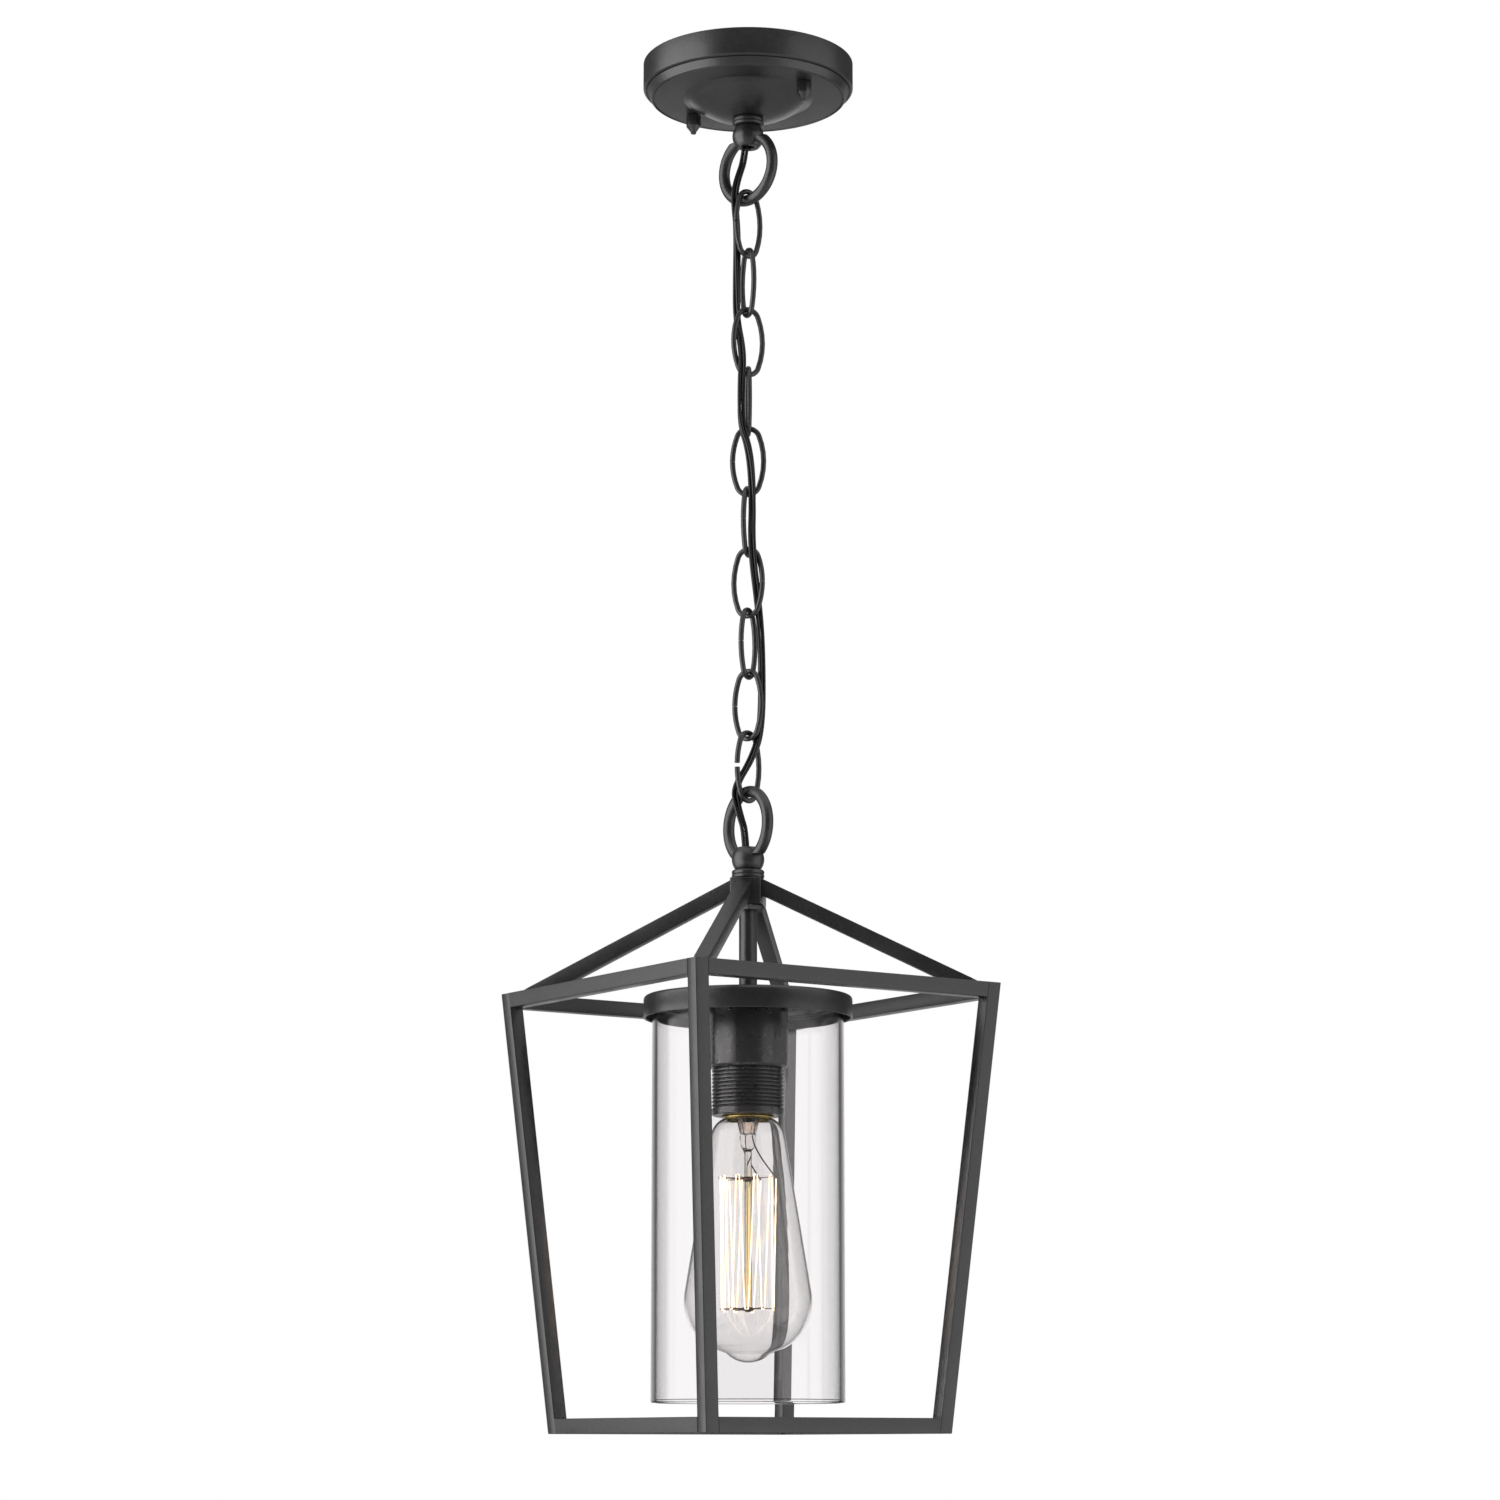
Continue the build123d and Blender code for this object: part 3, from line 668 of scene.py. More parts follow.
def chosen(piece: Piece) -> Piece:
    """Select one piece alone and make it the active one.

    Args:
        piece: the piece.

    Returns:
        The same piece.
    """
    fresh_start()
    piece.select_set(True)
    bpy.context.view_layer.objects.active = piece
    return piece


def added(name: str, data: Union[bpy.types.Mesh, bpy.types.Curve]) -> Piece:
    """Add a piece to the scene and choose it.

    Args:
        name: the piece's name.
        data: its mesh or curve.

    Returns:
        The new piece.
    """
    data.name = name
    piece = bpy.data.objects.new(name, data)
    bpy.context.scene.collection.objects.link(piece)
    return chosen(piece)


def named(name: str) -> Piece:
    """Name the active piece and its mesh.

    Args:
        name: the name for both.

    Returns:
        The piece.
    """
    piece = bpy.context.object
    piece.name = piece.data.name = name
    return piece


def settle(piece: Piece) -> Piece:
    """Put a piece's place and turn into its mesh.

    Args:
        piece: the piece.

    Returns:
        The same piece at the origin.
    """
    chosen(piece)
    bpy.ops.object.transform_apply(location=True, rotation=True, scale=True)
    return piece


def smooth(piece: Piece, angle: float = 35.0) -> Piece:
    """Shade a piece smooth, with creases where faces meet at more than an angle.

    Args:
        piece: the piece.
        angle: the crease angle in degrees.

    Returns:
        The same piece.
    """
    chosen(piece)
    bpy.ops.object.shade_smooth_by_angle(angle=radians(angle))
    return piece


@contextmanager
def editing(grip: Grip = Grip.CORNERS) -> Iterator[None]:
    """Work on the active piece in edit mode, and leave it afterwards.

    Args:
        grip: what is picked there.

    Returns:
        A context for the work.
    """
    bpy.ops.object.mode_set(mode="EDIT")
    bpy.ops.mesh.select_mode(type=grip.value)
    yield
    bpy.ops.object.mode_set(mode="OBJECT")


def pick_nothing(grip: Grip) -> None:
    """Leave nothing picked on the active piece, ready to pick by code."""
    with editing(grip):
        bpy.ops.mesh.select_all(action="DESELECT")


def close_up() -> None:
    """Merge the doubles of the mesh in edit mode, drop loose edges and turn its faces outwards."""
    bpy.ops.mesh.select_all(action="SELECT")
    bpy.ops.mesh.remove_doubles(threshold=WELD)
    bpy.ops.mesh.delete_loose(use_verts=True, use_edges=True, use_faces=False)
    bpy.ops.mesh.select_all(action="SELECT")
    bpy.ops.mesh.normals_make_consistent(inside=False)


def arc_about(centre: Point2, radius: float, start: float, turn: float, count: int) -> list[Point2]:
    """Points along a circle arc about a centre.

    Args:
        centre: the arc's centre.
        radius: its radius.
        start: its first angle in radians.
        turn: how far it turns.
        count: steps along the arc.

    Returns:
        The points, with both ends.
    """
    angles = [start + turn * step / count for step in range(count + 1)]
    return [(centre[0] + radius * cos(angle), centre[1] + radius * sin(angle)) for angle in angles]


def arc_through(first: Point2, middle: Point2, last: Point2, count: int) -> list[Point2]:
    """Points along the circle arc through three points.

    Args:
        first: the arc's start.
        middle: a point that the arc passes.
        last: the arc's end.
        count: steps along the arc.

    Returns:
        The points, with both ends.
    """
    (ax, ay), (bx, by), (cx, cy) = first, middle, last
    spread = 2 * (ax * (by - cy) + bx * (cy - ay) + cx * (ay - by))
    a2, b2, c2 = ax * ax + ay * ay, bx * bx + by * by, cx * cx + cy * cy
    x = (a2 * (by - cy) + b2 * (cy - ay) + c2 * (ay - by)) / spread
    y = (a2 * (cx - bx) + b2 * (ax - cx) + c2 * (bx - ax)) / spread
    radius = sqrt((ax - x) ** 2 + (ay - y) ** 2)
    start, via, end = (atan2(py - y, px - x) for px, py in (first, middle, last))
    turn = (end - start) % (2 * pi)
    if (via - start) % (2 * pi) > turn:
        turn -= 2 * pi
    return arc_about((x, y), radius, start, turn, count)


def rounded(corners: Sequence[Corner], steps: int = 5) -> list[Point2]:
    """A closed outline with rounded corners.

    Args:
        corners: radius, height and corner radius of each corner in turn.
        steps: steps along each corner's arc.

    Returns:
        The outline's points, with the first one again at the end.
    """
    outline: list[Point2] = []
    for index, (x, y, radius) in enumerate(corners):
        if radius <= 0:
            outline.append((x, y))
            continue
        here = Vector((x, y))
        back = Vector(corners[index - 1][:2]) - here
        ahead = Vector(corners[(index + 1) % len(corners)][:2]) - here
        half = back.angle(ahead) / 2
        slope = sin(half) / cos(half)
        reach = min(radius / slope, CORNER_SHARE * back.length, CORNER_SHARE * ahead.length)
        true_radius = reach * slope
        inward = (back.normalized() + ahead.normalized()).normalized()
        crown = here + inward * (true_radius / sin(half)) - inward * true_radius
        start = here + back.normalized() * reach
        end = here + ahead.normalized() * reach
        outline += arc_through(tuple(start), tuple(crown), tuple(end), steps)
    return outline + outline[:1]


def turned(name: str, outline: Sequence[Point2], facets: int) -> Piece:
    """Turn an outline about the hang line, as on a lathe.

    Args:
        name: the piece's name.
        outline: radius and height of each point in millimetres.
        facets: facets round the piece.

    Returns:
        The turned piece.
    """
    fresh_start()
    bpy.ops.mesh.primitive_plane_add(size=MM)
    piece = named(name)
    with editing(Grip.CORNERS):
        bpy.ops.mesh.select_all(action="SELECT")
        bpy.ops.mesh.merge(type="CENTER")
        bpy.ops.transform.translate(value=(outline[0][0] * MM, 0, outline[0][1] * MM))
        for before, after in zip(outline, outline[1:]):
            step = ((after[0] - before[0]) * MM, 0, (after[1] - before[1]) * MM)
            bpy.ops.mesh.extrude_vertices_move(TRANSFORM_OT_translate={"value": step})
        bpy.ops.mesh.select_all(action="SELECT")
        bpy.ops.mesh.spin(steps=facets, angle=2 * pi, center=(0, 0, 0), axis=(0, 0, 1))
        close_up()
    return smooth(piece)


def softened(node: Piece, name: str, width: float, is_edge: Callable[[Vector, Vector], bool]) -> Piece:
    """A copy of a plain solid with chosen edges rounded off.

    Args:
        node: the solid to copy.
        name: the new piece's name.
        width: the rounding's width in millimetres.
        is_edge: tells from its two ends whether an edge is rounded.

    Returns:
        The rounded piece.
    """
    piece = added(name, node.data.copy())
    with editing(Grip.EDGES):
        bpy.ops.mesh.select_all(action="SELECT")
        bpy.ops.mesh.remove_doubles(threshold=WELD)
        bpy.ops.mesh.dissolve_limited(angle_limit=radians(FLAT))
        bpy.ops.mesh.select_all(action="DESELECT")
    points = [vertex.co.copy() for vertex in piece.data.vertices]
    for edge in piece.data.edges:
        edge.select = is_edge(points[edge.vertices[0]], points[edge.vertices[1]])
    with editing(Grip.EDGES):
        bpy.ops.mesh.bevel(offset=width * MM, segments=3, affect="EDGES", clamp_overlap=True)
    if piece.data.has_custom_normals:
        bpy.ops.mesh.customdata_custom_splitnormals_clear()
    return smooth(piece, angle=30.0)


def tube_along(name: str, points: Sequence[Point3], radius: float, order: int, ring: int = 3) -> Piece:
    """A round wire whose control points are given.

    Args:
        name: the piece's name.
        points: control points in millimetres.
        radius: the wire's radius in millimetres.
        order: 3 for a limp line that rounds its corners, 2 for straight runs.
        ring: roundness of the section.

    Returns:
        The wire as a mesh.
    """
    curve = bpy.data.curves.new(name, "CURVE")
    curve.dimensions = "3D"
    curve.bevel_depth = radius * MM
    curve.bevel_resolution = ring
    curve.resolution_u = 10
    curve.use_fill_caps = True
    spline = curve.splines.new("NURBS")
    spline.points.add(len(points) - 1)
    for control, point in zip(spline.points, points):
        control.co = (*(Vector(point) * MM), 1.0)
    spline.order_u = order
    spline.use_endpoint_u = True
    added(name, curve)
    bpy.ops.object.convert(target="MESH")
    piece = named(name)
    with editing():
        close_up()
    return smooth(piece, angle=60.0)


def copied(piece: Piece, name: str, turn: float = 0.0, place: Point3 = (0.0, 0.0, 0.0)) -> Piece:
    """A copy of a piece with a mesh of its own, turned about the hang line and then moved.

    Args:
        piece: the piece to copy.
        name: the copy's name.
        turn: its turn in degrees.
        place: its move in millimetres.

    Returns:
        The copy, with its turn and place in its mesh.
    """
    copy = added(name, piece.data.copy())
    copy.rotation_euler = (0, 0, radians(turn))
    copy.location = Vector(place) * MM
    return settle(copy)


def joined(name: str, pieces: Sequence[Piece]) -> Piece:
    """Join pieces into one.

    Args:
        name: the joined piece's name.
        pieces: the pieces, which go.

    Returns:
        The joined piece.
    """
    chosen(pieces[0])
    for piece in pieces:
        piece.select_set(True)
    bpy.ops.object.join()
    return named(name)


# Sub-assemblies


@dataclass
class Assembly:
    """What every sub-assembly shares: the frame, the paint, and the way a piece is handed over."""

    frame: dict
    paint: Paintbox

    def hand_over(
        self, piece: Piece, body: str, slot: Slot, *nodes: str, special: Optional[bpy.types.Material] = None
    ) -> None:
        """Dress a piece, let it ride on its body and let it stand for its solids.

        Args:
            piece: the finished piece.
            body: the body that carries it.
            slot: its slot.
            nodes: the solids that it stands for.
            special: a finish of its own instead of the slot's.
        """
        self.paint.dress(piece, slot, special)
        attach(piece, body)
        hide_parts(*nodes)
        LOG.info("%s rides on %s: %d faces", piece.name, body, len(piece.data.polygons))

    def keep(self, slot: Slot, *nodes: str) -> None:
        """Give solids that stay as they are their finish.

        Args:
            slot: the finish.
            nodes: names of the solids.
        """
        for node in nodes:
            self.paint.dress(self.frame["nodes"][node], slot)
            LOG.info("%s keeps its shape", node)


@dataclass
class Loop(Assembly):
    """A heavy ring that grows out of a bored ball."""

    body: str
    ball_height: float
    turn: float
    way: Way
    ball_radius: float = 9.0
    neck: float = 6.0
    mouth: float = 6.6
    lip: float = 0.5
    lip_rise: float = 0.05
    bore: float = 3.4
    bore_depth: float = 4.0
    bore_point: float = 0.2
    ring_radius: float = 19.0
    ring_root: float = 2.2
    wire_radius: float = 3.2

    def turn_ball(self) -> Piece:
        """Turn the ball from its neck, over its cheek, to the bore in its mouth.

        Returns:
            The ball.
        """
        way = self.way.value
        neck = (sqrt(self.ball_radius**2 - self.neck**2), self.ball_height - way * self.neck)
        mouth = (sqrt(self.ball_radius**2 - self.mouth**2), self.ball_height + way * self.mouth)
        cheek = arc_through(neck, (self.ball_radius, self.ball_height), mouth, count=22)
        inside = [
            (mouth[0] - self.lip, -self.lip_rise),
            (self.bore + self.lip, -self.lip_rise),
            (self.bore, self.lip),
            (self.bore, self.bore_depth),
            (0.0, self.bore_depth + self.bore_point),
        ]
        bore = [(radius, mouth[1] - way * depth) for radius, depth in inside]
        return turned(f"{self.body}_ball", [(0.0, neck[1])] + cheek + bore, facets=64)

    def build(self) -> None:
        """Set a ring, cut off inside the ball, in the ball and hand both over as one piece."""
        way = self.way.value
        ball = self.turn_ball()
        fresh_start()
        bpy.ops.mesh.primitive_torus_add(
            major_radius=self.ring_radius * MM,
            minor_radius=self.wire_radius * MM,
            major_segments=112,
            minor_segments=28,
            location=(0, 0, (self.ball_height + way * self.ring_radius) * MM),
            rotation=(pi / 2, 0, radians(self.turn)),
        )
        ring = settle(bpy.context.object)
        with editing():
            bpy.ops.mesh.select_all(action="SELECT")
            bpy.ops.mesh.bisect(
                plane_co=(0, 0, (self.ball_height + way * self.ring_root) * MM),
                plane_no=(0, 0, 1),
                clear_inner=self.way is Way.UP,
                clear_outer=self.way is Way.DOWN,
                use_fill=True,
            )
        piece = joined(f"{self.body}_loop_ring_and_ball", [ball, smooth(ring, angle=40.0)])
        self.hand_over(piece, self.body, Slot.BLACK_METAL, f"{self.body}_loop")


@dataclass
class Collar(Assembly):
    """A short collar of two beads with a groove between them."""

    body: str
    top: float
    radius: float = 9.0
    height: float = 4.7
    bead_round: float = 1.3
    lip_round: float = 0.7
    groove_drop: float = 2.5
    groove_half: float = 0.25
    groove_radius: float = 8.3
    groove_round: float = 0.2

    def build(self) -> None:
        """Turn the collar and hand it over."""
        groove = self.top - self.groove_drop
        low = self.top - self.height
        outline = rounded(
            [
                (STEM_FIT, self.top, 0.0),
                (self.radius, self.top, self.bead_round),
                (self.radius, groove + self.groove_half, self.lip_round),
                (self.groove_radius, groove, self.groove_round),
                (self.radius, groove - self.groove_half, self.lip_round),
                (self.radius, low, self.bead_round),
                (STEM_FIT, low, 0.0),
            ]
        )
        piece = turned(f"{self.body}_grooved_collar", outline, facets=72)
        self.hand_over(piece, self.body, Slot.BLACK_METAL, f"{self.body}_collar")


@dataclass
class Canopy(Assembly):
    """The spun dish on the ceiling with its fastenings, collar and loop."""

    body: str = "canopy"
    radius: float = 60.0
    rim_round: float = 0.4
    wall: float = 1.2
    band: float = 16.1
    band_round: float = 0.9
    ledge: float = 1.4
    ledge_groove: tuple[Corner, ...] = (
        (0.0, 0.0, 0.2),
        (-0.2, 0.7, 0.1),
        (-0.7, 0.7, 0.1),
        (-0.7, -0.3, 0.3),
    )
    chamfer_inset: float = 3.5
    chamfer_rises: Point2 = (1.7, 2.5)
    floor: float = -20.4
    floor_radius: float = 55.0
    floor_wall: float = 1.4
    floor_bead: tuple[Corner, ...] = (
        (0.7, 0.1, 0.7),
        (-0.2, -0.3, 0.2),
        (-0.4, 0.4, 0.1),
        (-0.9, 0.4, 0.1),
        (-1.0, 0.0, 0.2),
    )
    dome_radius: float = 35.5
    dome_bend: float = 1.6
    dome_round: float = 1.0
    dome_lip: float = 1.2
    dome_waist: Point2 = (24.0, -28.0)
    dome_foot: float = 10.5
    dome_floor: float = -32.3
    dome_inset: float = 0.4
    hole: float = 5.3
    loop_height: float = -43.0
    loop_turn: float = -78.0
    nut_spacing: float = 84.0
    nut_turn: float = -75.0
    nut_top: float = -20.7
    nut_flats: float = 7.4
    nut_hex: float = 6.2
    nut_edge: float = 0.16
    nut_steps: tuple[Point2, ...] = ((0.7, 0.9), (2.5, 0.5), (0.2, 0.96), (1.2, 0.8))

    def dome(self) -> list[Point2]:
        """The dome's outline from the bend at the floor down to its foot."""
        bend = (self.dome_radius - self.dome_bend, self.floor - self.dome_lip)
        return arc_through(bend, self.dome_waist, (self.dome_foot, self.dome_floor), count=24)

    def outside(self, bend: Point2) -> list[Point2]:
        """The dish's outer outline from its rim, over the band, chamfer and floor, to the dome.

        Args:
            bend: where the dome begins.

        Returns:
            The outline's points.
        """
        corners: list[Corner] = [
            (self.radius - self.wall, 0.0, 0.0),
            (self.radius, 0.0, self.rim_round),
            (self.radius, self.band_round - self.band, self.band_round),
        ]
        for out, up, turn in self.ledge_groove:
            corners.append((self.radius - self.ledge + out, up - self.band, turn))
        for out, up, turn in self.floor_bead:
            corners.append((self.floor_radius + out, self.floor + up, turn))
        corners += [(self.dome_radius + self.dome_bend, self.floor, self.dome_round), (*bend, 0.0)]
        return rounded(corners)[:-1]

    def inside(self) -> list[Point2]:
        """The dish's inner outline from the dome back to its rim.

        Returns:
            The outline's points.
        """
        floor = self.floor + self.floor_wall
        low, high = (rise - self.band for rise in self.chamfer_rises)
        return [
            (self.dome_radius, floor),
            (self.floor_radius - self.floor_wall, floor),
            (self.radius - self.chamfer_inset, low),
            (self.radius - self.wall, high),
            (self.radius - self.wall, 0.0),
        ]

    def build_dish(self) -> None:
        """Spin the dish, with its wall and the hole in its dome."""
        dome = self.dome()
        lining = [(radius - self.dome_inset, height + self.wall) for radius, height in reversed(dome)]
        hole = [(self.hole, self.dome_floor), (self.hole, self.dome_floor + self.wall)]
        outline = self.outside(dome[0]) + dome[1:] + hole + lining + self.inside()
        piece = turned("canopy_spun_dish", outline, facets=160)
        self.hand_over(piece, self.body, Slot.BLACK_METAL, "canopy_dish")

    def build_cap_nuts(self) -> None:
        """Draw a hexagon down to a blunt point, round its edges and set it on both screws."""
        at = radians(self.nut_turn)
        low = (self.nut_top - self.nut_hex) * MM
        fresh_start()
        bpy.ops.mesh.primitive_cylinder_add(
            vertices=6,
            radius=self.nut_flats / sqrt(3) * MM,
            depth=self.nut_hex * MM,
            location=(0, 0, low + self.nut_hex / 2 * MM),
            rotation=(0, 0, at),
        )
        nut = settle(bpy.context.object)
        pick_nothing(Grip.FACES)
        for face in nut.data.polygons:
            face.select = face.normal.z < DOWNWARD
        with editing(Grip.FACES):
            for drop, scale in self.nut_steps:
                bpy.ops.mesh.extrude_region_move(TRANSFORM_OT_translate={"value": (0, 0, -drop * MM)})
                bpy.ops.transform.resize(value=(scale, scale, 1), center_override=(0, 0, low))
        with editing(Grip.EDGES):
            bpy.ops.mesh.select_all(action="SELECT")
            bpy.ops.mesh.bevel(offset=self.nut_edge * MM, segments=2, affect="EDGES", clamp_overlap=True)
        smooth(nut, angle=28.0)
        nuts = []
        for number, reach in enumerate((-self.nut_spacing / 2, self.nut_spacing / 2), start=1):
            nuts.append(copied(nut, f"pointed_nut_{number}", 0.0, (reach * cos(at), reach * sin(at), 0.0)))
        bpy.data.objects.remove(nut)
        self.hand_over(joined("canopy_pointed_nuts", nuts), self.body, Slot.BLACK_METAL, "canopy_cap_nuts")

    def build(self) -> None:
        """Build the visible pieces and paint the hidden ones."""
        self.build_dish()
        self.build_cap_nuts()
        Collar(self.frame, self.paint, self.body, self.dome_floor).build()
        Loop(self.frame, self.paint, self.body, self.loop_height, self.loop_turn, Way.DOWN).build()
        self.keep(Slot.ZINC_STEEL, "mounting_crossbar", "crossbar_screws")
        self.keep(Slot.ZINC_STEEL, "threaded_nipple", "nipple_lock_nut")
        self.keep(Slot.GREEN_SCREW, "ground_screw")


@dataclass
class Chain(Assembly):
    """Ten links bent from round wire, each with a butt seam in one side."""

    turns: tuple[float, ...] = (6.0, -102.0, -11.0, -119.0, -40.0, 39.0, 121.0, 30.0, -67.0, 13.0)
    wire_radius: float = 1.5
    length: float = 41.2
    width: float = 20.6
    end_radius: float = 6.5
    first_top: float = -76.0
    gap: float = 0.3
    seam: float = 0.5
    open_seam: float = 2.4
    facet_angle: float = 7.5
    fewest_facets: int = 4

    def centres(self) -> list[float]:
        """Heights of the links' middles.

        Returns:
            The heights in millimetres, from the top down.
        """
        half = self.length / 2 - self.wire_radius
        step = 2 * half - 2 * self.wire_radius - self.gap
        return [self.first_top - half - step * number for number in range(len(self.turns))]

    def bend_link(self, name: str, seam: float) -> Piece:
        """Bend a link about the origin by spinning its section through five arcs.

        Args:
            name: the link's name.
            seam: the gap at its butt seam.

        Returns:
            The link, upright in the plane of X and Z.
        """
        half = self.length / 2 - self.wire_radius
        half_width = self.width / 2 - self.wire_radius
        end = half - self.end_radius
        side = (half_width**2 + end**2 - self.end_radius**2) / (2 * (half_width - self.end_radius))
        offset = side - half_width
        side_angle = atan2(end, offset)
        seam_angle = seam / 2 / side
        arcs = [
            ((offset, 0.0), side_angle - seam_angle),
            ((0.0, end), pi - 2 * side_angle),
            ((-offset, 0.0), 2 * side_angle),
            ((0.0, -end), pi - 2 * side_angle),
            ((offset, 0.0), side_angle - seam_angle),
        ]
        fresh_start()
        bpy.ops.mesh.primitive_circle_add(
            vertices=20,
            radius=self.wire_radius * MM,
            fill_type="NGON",
            location=((offset - side * cos(seam_angle)) * MM, 0, side * sin(seam_angle) * MM),
            rotation=(0, seam_angle, 0),
        )
        link = settle(named(name))
        with editing(Grip.FACES):
            bpy.ops.mesh.select_all(action="SELECT")
            bpy.ops.mesh.extrude_region_move(TRANSFORM_OT_translate={"value": (0, 0, 0)})
            for (x, z), angle in arcs:
                steps = max(self.fewest_facets, round(degrees(angle) / self.facet_angle))
                bpy.ops.mesh.spin(steps=steps, angle=angle, center=(x * MM, 0, z * MM), axis=(0, -1, 0))
            close_up()
        return smooth(link, angle=45.0)

    def build(self) -> None:
        """Bend one link and copy it down the chain; the last one stands open at its seam."""
        shut = self.bend_link("shut_link", self.seam)
        open_link = self.bend_link("open_link", self.open_seam)
        for number, (turn, centre) in enumerate(zip(self.turns, self.centres()), start=1):
            pattern = open_link if number == len(self.turns) else shut
            link = copied(pattern, f"bent_link_{number:02d}", turn, (0.0, 0.0, centre))
            self.hand_over(link, f"link_{number:02d}", Slot.BLACK_METAL, f"chain_link_{number:02d}")
        bpy.data.objects.remove(shut)
        bpy.data.objects.remove(open_link)


@dataclass
class SupplyWires(Assembly):
    """Three insulated wires laid together, that wander beside and through the links."""

    chain: Chain
    strands: int = 3
    wire_radius: float = 1.0
    lay_radius: float = 1.42
    lay_step: float = 24.0
    bend_ends: Point2 = (-50.0, -454.0)
    cut_ends: Point2 = (0.0, -600.0)
    route: tuple[Point3, ...] = (
        (0.0, 0.0, -14.0),
        (0.0, 0.0, -52.0),
        (-6.3, 3.9, -73.0),
        (-6.7, 4.0, -84.0),
        (-5.3, 3.6, -102.0),
        (-4.8, 4.5, -130.0),
        (-3.6, 5.9, -150.0),
        (-5.0, -2.5, -173.0),
        (-7.3, -3.6, -190.7),
        (-7.8, -3.7, -214.3),
        (-2.4, -5.4, -230.0),
        (-0.8, -6.5, -256.0),
        (-2.7, -7.4, -286.8),
        (6.4, -1.0, -319.2),
        (6.9, -3.1, -345.0),
        (6.7, -3.8, -388.8),
        (1.3, -0.6, -406.8),
        (-6.2, 4.0, -420.8),
        (-5.0, 3.7, -431.6),
        (0.0, 0.0, -452.0),
        (0.0, 0.0, -546.0),
    )

    def strand(self, number: int) -> Piece:
        """One wire along its whole route.

        Args:
            number: its number round the lay, from 0.

        Returns:
            The wire.
        """
        points = []
        for step, (x, y, z) in enumerate(self.route):
            # The first and the last run stay straight
            turns = min(max(step, 1), len(self.route) - 2)
            lay = radians(360 / self.strands * number + self.lay_step * turns)
            points.append((x + self.lay_radius * cos(lay), y + self.lay_radius * sin(lay), z))
        return tube_along(f"strand_{number}", points, self.wire_radius, order=3)

    def stretch(self, whole: Piece, number: int, top: float, bottom: float) -> Piece:
        """Cut the stretch between two heights out of a copy of the wires.

        Args:
            whole: the wires along their whole route.
            number: the stretch's number from the top.
            top: its upper cut in millimetres.
            bottom: its lower cut in millimetres.

        Returns:
            The stretch.
        """
        piece = added(f"supply_wires_{number:02d}", whole.data.copy())
        with editing():
            for height, is_top in ((top, True), (bottom, False)):
                bpy.ops.mesh.select_all(action="SELECT")
                bpy.ops.mesh.bisect(
                    plane_co=(0, 0, height * MM),
                    plane_no=(0, 0, 1),
                    clear_outer=is_top,
                    clear_inner=not is_top,
                    threshold=ON_CUT,
                )
        return smooth(piece, angle=60.0)

    def build(self) -> None:
        """Lay the wires, cut them in the middle of each link and dress each stretch."""
        whole = joined("supply_wires", [self.strand(number) for number in range(self.strands)])
        centres = self.chain.centres()
        bodies = ["canopy"] + [f"link_{number:02d}" for number in range(1, len(centres) + 1)] + ["lantern"]
        cuts = [self.cut_ends[0]] + centres + [self.cut_ends[1]]
        for number, (upper, lower) in enumerate(zip(bodies, bodies[1:]), start=1):
            piece = self.stretch(whole, number, cuts[number - 1], cuts[number])
            self.paint.dress(piece, Slot.WIRE_SLEEVE)
            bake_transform(piece)
            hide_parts("live_wire", "neutral_wire", "earth_wire")
            LOG.info("%s bends between %s and %s", piece.name, upper, lower)
        bpy.data.objects.remove(whole)


